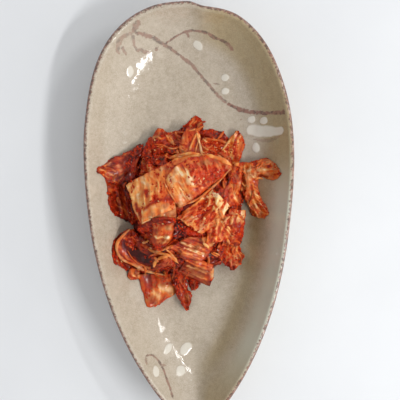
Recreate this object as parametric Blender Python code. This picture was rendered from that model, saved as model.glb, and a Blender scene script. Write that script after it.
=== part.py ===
"""A leaf-shaped stoneware dish with a heap of cut cabbage kimchi on it.

Metres, +Z up. The dish stands on z = 0 with its bounding box centred on the origin,
its broad end towards +Y and its pointed end towards -Y.
"""
import math
from collections import namedtuple

import bmesh
import bpy
import numpy as np

MM = 0.001

# ---------------------------------------------------------------- dish, driving sizes
DISH_LENGTH = 291 * MM
DISH_WIDTH = 143 * MM
DISH_HEIGHT = 34 * MM
WALL_THICKNESS = 4 * MM
FLOOR_TOP = 7.5 * MM
SEGMENTS = 72                      # points round every ring of the dish

# Outline in plan: a teardrop, squarer at the broad end than an ellipse.
SHOULDER_POWER = 2.45
TAPER_POWER = 0.28
TIP_BLUNTNESS = 0.02
TIP_BEND = 6.5 * MM                # the pointed end leans towards +X
WIDEST_BEND = 0.13                 # share of the bend where the dish is widest, kept on x = 0
LIP_DROP = 2.4 * MM                # step where the leaf's two sides meet at the broad end
LIP_RUN = 10 * MM
LIP_FADE = 24 * MM
# The hand-shaped outline is a little fuller in three places, each with the y it starts at and its run.
SHOULDER_SWELL, SHOULDER_FROM, SHOULDER_RUN = 4.8 * MM, 65 * MM, 75 * MM
RIGHT_SWELL, RIGHT_FROM, RIGHT_RUN = 2.2 * MM, 90 * MM, 50 * MM
FLANK_SWELL, FLANK_FROM, FLANK_RUN = 1.1 * MM, 40 * MM, 60 * MM
SWELL_START = 18 * MM              # a swell is full from this far beside the middle line
SWELL_PASSES = 8                   # passes that undo a swell

# How far the wall runs inwards in plan before it reaches the floor.
WALL_SIDE = 44 * MM
WALL_BROAD_END = 48 * MM
WALL_TIP = 60 * MM
WALL_STEEPNESS = 2.5               # power of the bowl-like share of the wall's curve
WALL_FLARE = 0.05                  # share of the wall's curve that flattens at the rim
WALL_STEPS = 9
RIM_ANGLES = (-135, -105, -75, -45, -15, 15)  # degrees round the rim, from its outer side

FOOT_OUTER = 0.78                  # foot ring, as shares of the wall's run in plan
FOOT_INNER = 0.89
FOOT_ROUND = 0.8 * MM
FLOOR_RINGS = (1.25, 1.55)
DEEPEST_SHARE = 1.6                # a share beyond which there is only floor
HALVINGS = 16                      # steps that narrow down the share under a point
SHARP_ANGLE = math.radians(50)

# ---------------------------------------------------------------- kimchi, driving sizes
HEAP_AT = (-0.8 * MM, -5 * MM)     # where the cuts' own origin lies on the dish
HEAP_SPREAD = 1.03                 # how far the cuts are spread from it
MOUND_CENTRE = (-3 * MM, 4 * MM)
MOUND_RADII = (39 * MM, 51.5 * MM)
MOUND_STEPS = 21
MOUND_HEIGHT = 30 * MM             # top of the packed middle, above the dish's floor
MOUND_SHOULDER = 0.65              # below 1 gives the middle a fuller side
LEAF, STEM = 3.4 * MM, 4.4 * MM    # thickness of a folded leaf and of a rib, with its paste
GAP = 0.45 * MM                    # left between the heap and the glaze, measured upwards
CUT_ROWS, CUT_COLUMNS = 13, 11
RELIEF_CELL = 1.0 * MM
RELIEF_HALF = 80 * MM
REST_SHARE = 70                    # percentile of a cut's points that touch what is below
DROOP = {LEAF: 0.5, STEM: 0.2}     # how much of the space under a cut its own weight closes
SETTLE_STEPS = {LEAF: 6, STEM: 16}
SUNK = 0.8                         # share of a cut's thickness that stays above what it lies on
VOXEL = 1.5 * MM
HEAP_FACES = 4250
CUTTER_DEPTH = 10 * MM             # how far the cutter under the heap reaches below z = 0

# One cut of cabbage. The corners are in plan, in mm: near left, near right, far right and far
# left, as seen looking from its near end along its fibres. In degrees, bend turns the ends down
# and curl turns the sides down. In mm, pitch lifts the far end and roll the left side, each
# against the other, and round_end is how far the far end's middle reaches past its corners.
Cut = namedtuple("Cut", "name thickness corners bend curl pitch roll round_end")
CUTS = (
    # the ring that lies on the dish
    Cut("left_apron", LEAF, ((-38, 26), (-55, 28), (-50, 4), (-33, -4)), 10, -60, 0, 0, 1),
    Cut("left_flag", LEAF, ((-38, 26), (-31, 53), (-58, 41), (-56, 31)), 20, 40, 0, 0, 3),
    Cut("left_dark", LEAF, ((-27, 47), (-38, 51), (-45, 24), (-35, 24)), 30, 60, 0, 0, 0),
    Cut("loop_under", LEAF, ((-37, -5), (-49, -9), (-50, -27), (-33, -34)), 20, 60, 0, 0, 0),
    Cut("loop_leaf", LEAF, ((-38, -3), (-17, -36), (-8, -24), (-20, -10)), -95, -30, -3, 0, 0),
    Cut("knob", LEAF, ((-33, -32), (-37, -39), (-42, -37), (-38, -32)), 60, 60, 0, 0, 0),
    Cut("square_stem", STEM, ((-11, -37), (-33, -36), (-28, -57), (-11, -52)), 12, 20, 0, 0, 2),
    Cut("right_under", LEAF, ((5, -15), (5, -30), (20, -29), (25, -16)), 15, 60, 0, 0, 1),
    Cut("small_tongue", LEAF, ((10, -39), (1, -34), (1, -46), (6, -48)), 20, 60, 0, 0, 1),
    Cut("pointed_strip", LEAF, ((1, -24), (-10, -24), (-6, -58), (2, -58)), 20, 90, 0, 0, 4),
    Cut("right_skirt", LEAF, ((38, -8), (21, -6), (23, -25), (38, -24)), 25, 60, 0, 0, 8),
    Cut("top_tip", LEAF, ((-8, 58), (11, 59), (8, 70), (0, 71)), 30, 60, 0, 0, 4),
    Cut("top_dark", LEAF, ((6, 65), (8, 52), (27, 53), (25, 62)), 20, 80, 0, 0, 1),
    Cut("red_left", LEAF, ((-17, 57), (-27, 56), (-32, 41), (-14, 40)), 20, 70, 0, 0, 0),
    Cut("curl_tip", LEAF, ((-23, 54), (-15, 54), (-15, 62), (-22, 62)), 40, 120, 1, 0, 2),
    Cut("red_fold", LEAF, ((-21, 60), (-24, 47), (-3, 46), (-2, 61)), 10, 110, 0, 0, 0),
    Cut("right_far", LEAF, ((40, 42), (42, 28), (58, 27), (56, 42)), 10, 60, 0, 0, 3),
    Cut("bent_roll", LEAF, ((48, 41), (36, 41), (43, 5), (53, 6)), 20, 170, 0, 0, 3),
    # the middle layer
    Cut("right_knot", LEAF, ((38, 42), (28, 41), (26, 12), (37, 14)), 20, 90, 0, 0, 0),
    Cut("upright", STEM, ((24, 40), (35, 38), (39, 60), (29, 60)), 20, 50, 9, 3, 3),
    Cut("flake_leaf", LEAF, ((8, 58), (9, 43), (29, 41), (28, 54)), 15, 60, 0, 0, 0),
    Cut("orange_post", STEM, ((-5, 44), (10, 44), (9, 63), (-3, 62)), 15, 80, 3, 0, 0),
    Cut("right_leaf", STEM, ((39, 7), (27, 9), (24, -14), (36, -14)), 20, 70, 0, 0, 1),
    Cut("yellow_rib", STEM, ((1, -25), (-6, -34), (13, -43), (18, -31)), 10, 50, 0, 0, 1),
    Cut("vein_fork", LEAF, ((-10, -27), (-6, -12), (-27, -18), (-25, -31)), 20, 50, 0, 0, 1),
    Cut("red_centre", LEAF, ((-6, 2), (-7, -10), (9, -13), (12, -2)), 15, 90, 0, 0, 0),
    Cut("pale_rib", STEM, ((-1, -8), (-11, -15), (6, -31), (19, -20)), 25, 60, 0, 0, 2),
    Cut("pale_knuckle", STEM, ((8, -9), (10, -17), (20, -15), (19, -8)), 20, 70, 0, 0, 0),
    Cut("veined_leaf", LEAF, ((31, 6), (14, 4), (12, -12), (30, -12)), 20, 45, 0, 0, 2),
    Cut("small_fold", STEM, ((-23, 2), (-23, -14), (-11, -12), (-9, 2)), 10, 120, 0, 0, 0),
    Cut("cream_stem", STEM, ((-6, 15), (-27, 14), (-24, 3), (-7, 2)), 15, 30, 2, 0, 0),
    Cut("paste_leaf", STEM, ((29, 13), (15, 23), (-5, 6), (12, -6)), 35, 60, 0, 0, 2),
    # the crown
    Cut("cream_leaf", STEM, ((-8, 41), (-40, 27), (-33, 3), (-5, 13)), 30, 45, 0, 4, 0),
    Cut("crown_fringe", LEAF, ((-6, 40), (-3, 34), (29, 34), (27, 43)), 30, 30, 0, 3, 1),
    Cut("crown_stem", STEM, ((-3, 43), (-14, 27), (-3, 12), (28, 37)), 30, 70, 0, -2, 0),
)


# ---------------------------------------------------------------- the dish's surface

def fullness(u):
    """Half-width of the teardrop at u, which is -1 at the tip and 1 at the broad end."""
    u = np.clip(u, -1, 1)
    round_ends = np.sqrt(1 - np.abs(u) ** SHOULDER_POWER)
    taper = ((1 + u + TIP_BLUNTNESS) / (2 + TIP_BLUNTNESS)) ** TAPER_POWER
    return round_ends * taper


WIDEST = float(fullness(np.linspace(-1, 1, 400)).max())


def ring_sizes(share):
    """(half width, middle y, half length) of the ring that is this share of the wall inwards."""
    half_width = (DISH_WIDTH / 2 - WALL_SIDE * share) / WIDEST
    top = DISH_LENGTH / 2 - WALL_BROAD_END * share
    tip = -DISH_LENGTH / 2 + WALL_TIP * share
    return half_width, (top + tip) / 2, (top - tip) / 2


def lean(y):
    """Sideways place of the middle line, which bends near the tip."""
    return TIP_BEND * ((0.5 - y / DISH_LENGTH) ** 2 - WIDEST_BEND)


def smooth_step(x):
    x = np.clip(x, 0, 1)
    return x * x * (3 - 2 * x)


def swell(x, y):
    """How far a point at x from the middle line is moved sideways by the outline's fuller places."""
    shoulder = SHOULDER_SWELL * smooth_step((y - SHOULDER_FROM) / SHOULDER_RUN)
    flank = FLANK_SWELL * smooth_step((FLANK_FROM - y) / FLANK_RUN)
    right = RIGHT_SWELL * smooth_step((y - RIGHT_FROM) / RIGHT_RUN)
    return np.where(x < 0, -shoulder - flank, right) * smooth_step(np.abs(x) / SWELL_START)


def ring(share):
    """Points of one ring of the dish, anticlockwise from the tip, as an array of x, y."""
    half_width, middle, half_length = ring_sizes(share)
    turn = np.linspace(0, 2 * math.pi, SEGMENTS, endpoint=False)
    u = -np.cos(turn)
    y = middle + half_length * u
    x = np.sign(np.sin(turn)) * half_width * fullness(u)
    drop = smooth_step(x / LIP_RUN) * (1 - smooth_step((x - LIP_RUN) / LIP_FADE))
    y = y - LIP_DROP * drop * (u > 0) * max(0.0, 1 - share)
    return np.stack([x + swell(x, y) + lean(y), y], axis=1)


def wall_rise(share):
    """Height of the wall's inner face above the floor, from 1 at the rim to 0 at the floor."""
    bowl = (1 - share) ** WALL_STEEPNESS
    flare = 0.5 * (1 + math.cos(math.pi * share))
    return (1 - WALL_FLARE) * bowl + WALL_FLARE * flare


def inner_profile():
    """(share, z) down the inner face, from where it leaves the round rim to the floor."""
    radius = WALL_THICKNESS / 2
    start = radius * (1 + math.sqrt(0.5)) / WALL_SIDE
    top = DISH_HEIGHT - radius * (1 - math.sqrt(0.5))
    points = []
    for i in range(WALL_STEPS + 1):
        step = i / WALL_STEPS
        points.append((start + (1 - start) * step, FLOOR_TOP + (top - FLOOR_TOP) * wall_rise(step)))
    return points


def outer_profile():
    """(share, z) up the outer face, one wall thickness from the inner face."""
    inner = inner_profile()
    points = []
    for before, here, after in zip(inner, inner[1:-1], inner[2:]):
        run = (after[0] - before[0]) * WALL_SIDE
        fall = before[1] - after[1]
        slope = math.atan2(fall, run)
        share = here[0] - WALL_THICKNESS * math.sin(slope) / WALL_SIDE
        points.append((share, here[1] - WALL_THICKNESS * math.cos(slope)))
    return [p for p in reversed(points) if p[0] < FOOT_OUTER]


def rim_profile():
    """(share, z) over the round rim, from the outer face to the inner one."""
    radius = WALL_THICKNESS / 2
    points = []
    for degrees in RIM_ANGLES:
        angle = math.radians(degrees)
        points.append(((radius + radius * math.sin(angle)) / WALL_SIDE,
                       DISH_HEIGHT - radius + radius * math.cos(angle)))
    return points


def foot_profile():
    """(share, z) from the recess under the floor, round the foot ring, to the outer face."""
    recess = FLOOR_TOP - WALL_THICKNESS
    edge = FOOT_ROUND / WALL_SIDE
    return [(FOOT_INNER + edge, recess), (FOOT_INNER, FOOT_ROUND), (FOOT_INNER - edge, 0.0),
            (FOOT_OUTER + edge, 0.0), (FOOT_OUTER, FOOT_ROUND), (FOOT_OUTER - edge, recess)]


def heights_inside(x, y):
    """Height of the dish's inner face under points given as arrays."""
    low = np.zeros_like(x)
    high = np.full_like(x, DEEPEST_SHARE)
    across = x - lean(y)
    for _ in range(SWELL_PASSES):
        across = x - lean(y) - swell(across, y)
    for _ in range(HALVINGS):
        share = (low + high) / 2
        half_width, middle, half_length = ring_sizes(share)
        u = (y - middle) / half_length
        inside = (np.abs(u) < 1) & (np.abs(across) < half_width * fullness(u))
        low = np.where(inside, share, low)
        high = np.where(inside, high, share)
    shares, levels = zip(*inner_profile())
    return np.interp(low, shares, levels)


# ---------------------------------------------------------------- mesh helpers

def material(name, colour, roughness):
    made = bpy.data.materials.new(name)
    made.use_nodes = True
    shader = made.node_tree.nodes["Principled BSDF"]
    shader.inputs["Base Color"].default_value = (*colour, 1)
    shader.inputs["Roughness"].default_value = roughness
    shader.inputs["Metallic"].default_value = 0
    return made


def object_from(name, mesh):
    made = bpy.data.objects.new(name, mesh)
    bpy.context.scene.collection.objects.link(made)
    return made


def turned_rings(name, profile):
    """A closed mesh through one ring for each (share, z), with a flat face at each end."""
    shell = bmesh.new()
    loops = []
    for share, z in profile:
        loops.append([shell.verts.new((x, y, z)) for x, y in ring(share)])
    for lower, upper in zip(loops, loops[1:]):
        for i in range(SEGMENTS):
            j = (i + 1) % SEGMENTS
            shell.faces.new((lower[i], lower[j], upper[j], upper[i]))
    shell.faces.new(reversed(loops[0]))
    shell.faces.new(loops[-1])
    bmesh.ops.recalc_face_normals(shell, faces=shell.faces)
    mesh = bpy.data.meshes.new(name)
    shell.to_mesh(mesh)
    shell.free()
    mesh.shade_smooth()
    mesh.set_sharp_from_angle(angle=SHARP_ANGLE)
    return mesh


def closed_slab(vertices, faces, top, bottom):
    """Adds a slab between two equal grids of points to the lists of a mesh."""
    rows, columns = top.shape[:2]
    start = len(vertices)
    vertices.extend(map(tuple, top.reshape(-1, 3)))
    vertices.extend(map(tuple, bottom.reshape(-1, 3)))
    under = rows * columns

    def at(r, c):
        return start + r * columns + c

    for r in range(rows - 1):
        for c in range(columns - 1):
            quad = (at(r, c), at(r + 1, c), at(r + 1, c + 1), at(r, c + 1))
            faces.append(quad)
            faces.append(tuple(v + under for v in reversed(quad)))
    border = [(0, c) for c in range(columns)] + [(r, columns - 1) for r in range(1, rows)]
    border += [(rows - 1, c) for c in range(columns - 2, -1, -1)] + [(r, 0) for r in range(rows - 2, 0, -1)]
    for a, b in zip(border, border[1:] + border[:1]):
        faces.append((at(*a), at(*b), at(*b) + under, at(*a) + under))


# ---------------------------------------------------------------- the heap's relief

class Relief:
    """Height of everything that already lies on the dish, on a square grid."""

    def __init__(self):
        self.steps = int(2 * RELIEF_HALF / RELIEF_CELL) + 1
        line = np.linspace(-RELIEF_HALF, RELIEF_HALF, self.steps)
        self.x, self.y = np.meshgrid(line, line)
        self.z = heights_inside(self.x, self.y)

    def cells(self, x, y):
        column = np.clip((x + RELIEF_HALF) / RELIEF_CELL, 0, self.steps - 1.001)
        row = np.clip((y + RELIEF_HALF) / RELIEF_CELL, 0, self.steps - 1.001)
        return row, column

    def under(self, x, y):
        row, column = self.cells(x, y)
        r, c = row.astype(int), column.astype(int)
        v, u = row - r, column - c
        near = self.z[r, c] * (1 - u) + self.z[r, c + 1] * u
        far = self.z[r + 1, c] * (1 - u) + self.z[r + 1, c + 1] * u
        return near * (1 - v) + far * v

    def cover(self, points):
        """Raises the relief to a grid of points."""
        fine = refine(refine(refine(points)))
        row, column = self.cells(fine[..., 0], fine[..., 1])
        index = (np.rint(row).astype(int).ravel(), np.rint(column).astype(int).ravel())
        np.maximum.at(self.z, index, fine[..., 2].ravel())


def refine(points):
    """The grid with a point added between each two neighbours."""
    for axis in (0, 1):
        points = np.moveaxis(points, axis, 0)
        finer = np.repeat(points, 2, axis=0)[:-1]
        finer[1::2] = (points[1:] + points[:-1]) / 2
        points = np.moveaxis(finer, 0, axis)
    return points


def mound_heights(x, y):
    """Top of the packed middle of the heap."""
    u = (x - MOUND_CENTRE[0]) / MOUND_RADII[0]
    v = (y - MOUND_CENTRE[1]) / MOUND_RADII[1]
    return FLOOR_TOP + MOUND_HEIGHT * np.clip(1 - u * u - v * v, 0, 1) ** MOUND_SHOULDER


def softened(field):
    """One pass of averaging over a grid with its neighbours."""
    for axis in (0, 1):
        padded = np.concatenate([field.take([0], axis), field, field.take([-1], axis)], axis)
        count = field.shape[axis]
        before = padded.take(range(count), axis)
        after = padded.take(range(2, count + 2), axis)
        field = (before + 2 * field + after) / 4
    return field


def arc(degrees, steps):
    """(place, height) from -1 to 1 along an arc that turns by degrees and is flat in its middle."""
    angle = np.linspace(-0.5, 0.5, steps) * math.radians(degrees)
    reach = math.sin(min(abs(angle[-1]), math.pi / 2)) * math.copysign(1, degrees)
    return np.sin(angle) / reach, (np.cos(angle) - 1) / reach


def loose_cut(cut):
    """Points of a cut's upper face before it settles, as a grid of x, y, z."""
    near_left, near_right, far_right, far_left = np.array(cut.corners) * MM * HEAP_SPREAD + HEAP_AT
    along, fall = arc(cut.bend, CUT_ROWS)
    across, arch = arc(cut.curl, CUT_COLUMNS)
    share = (along[:, None, None] + 1) / 2
    left = near_left * (1 - share) + far_left * share
    right = near_right * (1 - share) + far_right * share
    side = (across[None, :, None] + 1) / 2
    plan = left * (1 - side) + right * side
    run = (far_left + far_right - near_left - near_right) / 2
    length = np.linalg.norm(run)
    push = cut.round_end * MM * np.clip(along, 0, 1)[:, None] ** 2 * (1 - across[None, :] ** 2)
    plan = plan + push[..., None] * run / length
    half_width = np.linalg.norm(left - right, axis=-1) / 2
    z = fall[:, None] * length / 2 + arch[None, :] * half_width
    z = z + cut.pitch * MM * along[:, None] / 2 - cut.roll * MM * across[None, :] / 2
    return np.concatenate([plan, z[..., None]], axis=-1)


def settled_cut(cut, relief):
    """The cut laid on what is below it: it rests on the high places and droops into the low ones."""
    points = loose_cut(cut)
    below = relief.under(points[..., 0], points[..., 1])
    points[..., 2] += np.percentile(below - points[..., 2], REST_SHARE)
    space = points[..., 2] - below
    move = -DROOP[cut.thickness] * np.maximum(space, 0)
    for _ in range(SETTLE_STEPS[cut.thickness]):
        move = softened(np.maximum(move, -space))
    points[..., 2] += move + SUNK * cut.thickness
    return points


# ---------------------------------------------------------------- the pieces

def make_dish():
    recess = FLOOR_TOP - WALL_THICKNESS
    underside = [(share, recess) for share in reversed(FLOOR_RINGS)]
    floor = [(share, FLOOR_TOP) for share in FLOOR_RINGS]
    profile = underside + foot_profile() + outer_profile() + rim_profile() + inner_profile() + floor
    dish = object_from("dish", turned_rings("dish", profile))
    dish.data.materials.append(material("stoneware_glaze", (0.50, 0.42, 0.33), 0.25))
    return dish


def dish_cutter():
    """Everything below the glaze and the gap that the heap keeps from it."""
    profile = [(0.0, -CUTTER_DEPTH), (0.0, DISH_HEIGHT + GAP)]
    profile += [(share, z + GAP) for share, z in inner_profile()]
    profile += [(share, FLOOR_TOP + GAP) for share in FLOOR_RINGS]
    cutter = object_from("dish_cutter", turned_rings("dish_cutter", profile))
    cutter.hide_render = True
    cutter.display_type = "WIRE"
    return cutter


def heap_mesh():
    """The packed middle and every cut as overlapping closed slabs."""
    relief = Relief()
    vertices, faces = [], []
    spans = np.linspace(-1, 1, MOUND_STEPS)
    across, along = np.meshgrid(spans * MOUND_RADII[0], spans * MOUND_RADII[1])
    x, y = MOUND_CENTRE[0] + across, MOUND_CENTRE[1] + along
    top = np.stack([x, y, mound_heights(x, y)], axis=-1)
    bottom = top.copy()
    bottom[..., 2] = FLOOR_TOP - STEM
    closed_slab(vertices, faces, top, bottom)
    relief.z = np.maximum(relief.z, mound_heights(relief.x, relief.y))
    for cut in CUTS:
        points = settled_cut(cut, relief)
        bottom = points - np.array([0, 0, cut.thickness])
        closed_slab(vertices, faces, points, bottom)
        relief.cover(points)
    mesh = bpy.data.meshes.new("kimchi_slabs")
    mesh.from_pydata(vertices, [], faces)
    return mesh


def outer_shell(mesh):
    """The largest connected surface of a mesh, without the hollows sealed inside it."""
    shell = bmesh.new()
    shell.from_mesh(mesh)
    left = set(shell.verts)
    islands = []
    while left:
        queue = [left.pop()]
        island = []
        while queue:
            vertex = queue.pop()
            island.append(vertex)
            for edge in vertex.link_edges:
                other = edge.other_vert(vertex)
                if other in left:
                    left.remove(other)
                    queue.append(other)
        islands.append(island)
    islands.sort(key=len)
    for island in islands[:-1]:
        bmesh.ops.delete(shell, geom=island, context="VERTS")
    made = bpy.data.meshes.new("kimchi")
    shell.to_mesh(made)
    shell.free()
    return made


def evaluated(piece):
    """The piece's mesh with its modifiers applied. The piece itself is removed."""
    graph = bpy.context.evaluated_depsgraph_get()
    made = bpy.data.meshes.new_from_object(piece.evaluated_get(graph))
    bpy.data.objects.remove(piece)
    return made


def make_kimchi(cutter):
    slabs = object_from("kimchi_slabs", heap_mesh())
    union = slabs.modifiers.new("union", "REMESH")
    union.mode = "VOXEL"
    union.voxel_size = VOXEL
    heap = object_from("kimchi_block", outer_shell(evaluated(slabs)))
    fewer = heap.modifiers.new("fewer_faces", "DECIMATE")
    fewer.ratio = HEAP_FACES / (2 * len(heap.data.polygons))
    cut = heap.modifiers.new("rest_on_dish", "BOOLEAN")
    cut.operation = "DIFFERENCE"
    cut.object = cutter
    kimchi = object_from("kimchi_heap", outer_shell(evaluated(heap)))
    kimchi.data.materials.append(material("kimchi_red", (0.45, 0.09, 0.03), 0.3))
    kimchi.data.shade_smooth()
    kimchi.data.set_sharp_from_angle(angle=SHARP_ANGLE)
    return kimchi


def main():
    for old in list(bpy.data.objects):
        bpy.data.objects.remove(old)
    root = object_from("kimchi_dish", None)
    dish = make_dish()
    kimchi = make_kimchi(dish_cutter())
    for piece in (dish, kimchi):
        piece.parent = root


main()
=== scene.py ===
import math

import bpy
import numpy as np
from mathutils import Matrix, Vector


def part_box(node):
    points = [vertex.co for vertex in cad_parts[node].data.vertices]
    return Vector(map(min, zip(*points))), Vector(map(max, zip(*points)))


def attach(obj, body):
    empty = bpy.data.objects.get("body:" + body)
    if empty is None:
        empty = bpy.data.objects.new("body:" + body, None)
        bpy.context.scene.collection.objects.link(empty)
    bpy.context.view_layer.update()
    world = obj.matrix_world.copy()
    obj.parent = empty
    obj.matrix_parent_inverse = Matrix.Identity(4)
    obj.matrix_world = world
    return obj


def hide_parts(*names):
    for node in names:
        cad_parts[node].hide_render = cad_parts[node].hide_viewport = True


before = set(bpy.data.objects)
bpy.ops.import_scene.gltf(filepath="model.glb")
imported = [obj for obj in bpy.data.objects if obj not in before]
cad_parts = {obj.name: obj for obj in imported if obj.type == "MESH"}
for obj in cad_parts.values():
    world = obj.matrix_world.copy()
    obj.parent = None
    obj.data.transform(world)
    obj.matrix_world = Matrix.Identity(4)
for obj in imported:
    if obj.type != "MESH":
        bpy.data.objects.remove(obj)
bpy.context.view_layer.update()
dishLow, dishHigh = [np.array(corner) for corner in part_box("dish")]
mm = 0.001
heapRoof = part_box("kimchi_heap")[1][2] / mm - 0.2  # in mm; no cut or fibre rises above it


# Soft step from 0 to 1
def ease(x):
    x = np.clip(x, 0, 1)
    return x * x * (3 - 2 * x)


# Soft noise from -1 to 1, with features about 1 unit across
def cloud(x, y, seed, octaves=1):
    table = np.random.default_rng(seed).uniform(-1, 1, (64, 64))
    total, size, weight = np.zeros(np.shape(x + y)), 1.0, 1.0
    for octave in range(octaves):
        u, v = x * size + 11.3 * octave + 500, y * size + 7.7 * octave + 500
        i, j = np.floor(u).astype(int), np.floor(v).astype(int)
        s, t = ease(u - i), ease(v - j)
        near = table[i % 64, j % 64] * (1 - s) + table[(i + 1) % 64, j % 64] * s
        far = table[i % 64, (j + 1) % 64] * (1 - s) + table[(i + 1) % 64, (j + 1) % 64] * s
        total = total + weight * (near * (1 - t) + far * t)
        size, weight = size * 2, weight / 2
    return total


# Scattered cells about 1 unit across: 0 on the line between two cells, rising to their middles
def cellEdges(x, y, seed):
    spots = np.random.default_rng(seed).uniform(0.1, 0.9, (64, 64, 2))
    i, j = np.floor(x).astype(int), np.floor(y).astype(int)
    first, second = np.full(x.shape, 9.0), np.full(x.shape, 9.0)
    for di in (-1, 0, 1):
        for dj in (-1, 0, 1):
            spot = spots[(i + di) % 64, (j + dj) % 64]
            away = np.hypot(i + di + spot[..., 0] - x, j + dj + spot[..., 1] - y)
            second = np.minimum(second, np.maximum(first, away))
            first = np.minimum(first, away)
    return second - first


# One pass of averaging a grid with its neighbours
def soften(field):
    for axis in (0, 1):
        count = field.shape[axis]
        padded = np.concatenate([field.take([0], axis), field, field.take([-1], axis)], axis)
        field = (padded.take(range(count), axis) + 2 * field + padded.take(range(2, count + 2), axis)) / 4
    return field


# A coarse grid read at more rows and columns
def stretch(field, rows, columns):
    for axis, count in ((0, rows), (1, columns)):
        place = np.linspace(0, field.shape[axis] - 1, count)
        low = np.minimum(place.astype(int), field.shape[axis] - 2)
        share = (place - low).reshape((-1, 1) if axis == 0 else (1, -1))
        field = field.take(low, axis) * (1 - share) + field.take(low + 1, axis) * share
    return field


# A mesh and its material, with marks that the material reads at each point
def meshObject(name, vertices, faces, material, marks=None, sharpDegrees=None):
    mesh = bpy.data.meshes.new(name)
    mesh.from_pydata([tuple(v) for v in vertices], [], [tuple(int(i) for i in f) for f in faces])
    for mark, values in (marks or {}).items():
        layer = mesh.attributes.new(mark, "FLOAT", "POINT")
        layer.data.foreach_set("value", np.asarray(values, np.float32))
    mesh.materials.append(material)
    mesh.shade_smooth()
    if sharpDegrees:
        mesh.set_sharp_from_angle(angle=math.radians(sharpDegrees))
    made = bpy.data.objects.new(name, mesh)
    bpy.context.scene.collection.objects.link(made)
    return made


# Quads between neighbouring rows of a grid of points, as rows of four numbers
def gridFaces(rows, columns, start=0, flip=False):
    at = start + np.arange(rows * columns).reshape(rows, columns)
    quads = np.stack([at[:-1, :-1], at[1:, :-1], at[1:, 1:], at[:-1, 1:]], axis=-1).reshape(-1, 4)
    return quads[:, ::-1] if flip else quads


# Inputs of a shader node are values or the outputs of other nodes
def setInputs(tree, shader, values):
    for name, value in values.items():
        if isinstance(value, bpy.types.NodeSocket):
            tree.links.new(value, shader.inputs[name])
        else:
            shader.inputs[name].default_value = value


def node(tree, kind, inputs, **settings):
    made = tree.nodes.new("ShaderNode" + kind)
    for name, value in settings.items():
        setattr(made, name, value)
    setInputs(tree, made, inputs)
    return made


# A colour may be three numbers or the output of a node
def mixColour(tree, share, first, second, how="MIX"):
    first, second = ((*colour, 1) if isinstance(colour, tuple) else colour for colour in (first, second))
    made = node(tree, "Mix", {0: share, 6: first, 7: second}, data_type="RGBA", blend_type=how)
    return made.outputs[2]


def sums(tree, how, first, second=0.5, third=0.5):
    return node(tree, "Math", {0: first, 1: second, 2: third}, operation=how).outputs[0]


# A mark stored at the points of a mesh
def mark(tree, name):
    return node(tree, "Attribute", {}, attribute_name=name).outputs["Fac"]


def noiseAt(tree, place, scale, detail=2.0, rough=0.5):
    made = node(tree, "TexNoise", {"Vector": place, "Scale": scale, "Detail": detail, "Roughness": rough})
    return made.outputs["Fac"]


# Colours between stops, each a place from 0 to 1 and its colour
def ramp(tree, value, stops):
    made = node(tree, "ValToRGB", {0: value})
    band = made.color_ramp
    while len(band.elements) < len(stops):
        band.elements.new(0.5)
    for element, (place, colour) in zip(band.elements, stops):
        element.position = place
        element.color = (*colour, 1)
    return made.outputs[0]


# From 0 at low to 1 at high, softly
def fade(tree, value, low, high):
    return node(tree, "MapRange", {0: value, 1: low, 2: high}, interpolation_type="SMOOTHSTEP").outputs[0]


def bumpFrom(tree, height, strength, depth):
    return node(tree, "Bump", {"Strength": strength, "Distance": depth, "Height": height}).outputs[0]


def newMaterial(name):
    made = bpy.data.materials.new(name)
    made.use_nodes = True
    tree = made.node_tree
    place = node(tree, "TexCoord", {}).outputs["Object"]
    return made, tree, tree.nodes["Principled BSDF"], place


# The dish
dish = {
    "segments": 640,
    "width": 143 * mm,          # before the fuller places
    "wallThickness": 4 * mm,
    "floorTop": 7.5 * mm,
    "shoulderPower": 2.45,      # above 2 makes the broad end squarer
    "taperPower": 0.28,         # higher draws the tip out more
    "tipBluntness": 0.02,
    "tipBend": 6.5 * mm,
    "widestBend": 0.13,
    "lipDrop": 2.4 * mm,        # step where the two sides of the leaf meet
    "lipRun": 10 * mm,
    "lipFade": 24 * mm,
    # Fuller places of the outline: how much, the y it starts at, and its run
    "shoulder": (4.8 * mm, 65 * mm, 75 * mm),
    "rightShoulder": (2.2 * mm, 90 * mm, 50 * mm),
    "flank": (1.1 * mm, 40 * mm, 60 * mm),
    "swellStart": 18 * mm,      # a fuller place is full from this far beside the middle line
    "swellPasses": 8,           # rounds that take the fuller places off again
    "sharePasses": 18,          # halvings that find a share of the wall
    "wallSide": 44 * mm,
    "wallBroadEnd": 48 * mm,
    "wallTip": 60 * mm,
    "wallSteepness": 2.5,
    "wallFlare": 0.05,
    "footOuter": 0.78,
    "footInner": 0.89,
    "deepest": 1.58,            # share of the wall beyond which the floor is closed
    "wave": 0.16 * mm,          # hand-thrown unevenness of the glaze
    "waveSize": (0.016, 0.019),
    "ripple": 0.95,             # its short waves, as a share of the long ones
    "rippleSize": (0.0045, 0.0055),
}
dishLength, dishHeight = (dishHigh - dishLow)[1:]


# Width of the leaf from the tip, at -1, to the broad end, at 1
def fullness(u):
    u = np.clip(u, -1, 1)
    taper = ((1 + u + dish["tipBluntness"]) / (2 + dish["tipBluntness"])) ** dish["taperPower"]
    return np.sqrt(1 - np.abs(u) ** dish["shoulderPower"]) * taper


widest = fullness(np.linspace(-1, 1, 400)).max()


# Half width, middle and half length of the ring that lies this share of the wall inwards
def ringSizes(share):
    halfWidth = (dish["width"] / 2 - dish["wallSide"] * share) / widest
    top = dishLength / 2 - dish["wallBroadEnd"] * share
    tip = -dishLength / 2 + dish["wallTip"] * share
    return halfWidth, (top + tip) / 2, (top - tip) / 2


# How far the middle line leans sideways
def lean(y):
    return dish["tipBend"] * ((0.5 - y / dishLength) ** 2 - dish["widestBend"])


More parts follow.
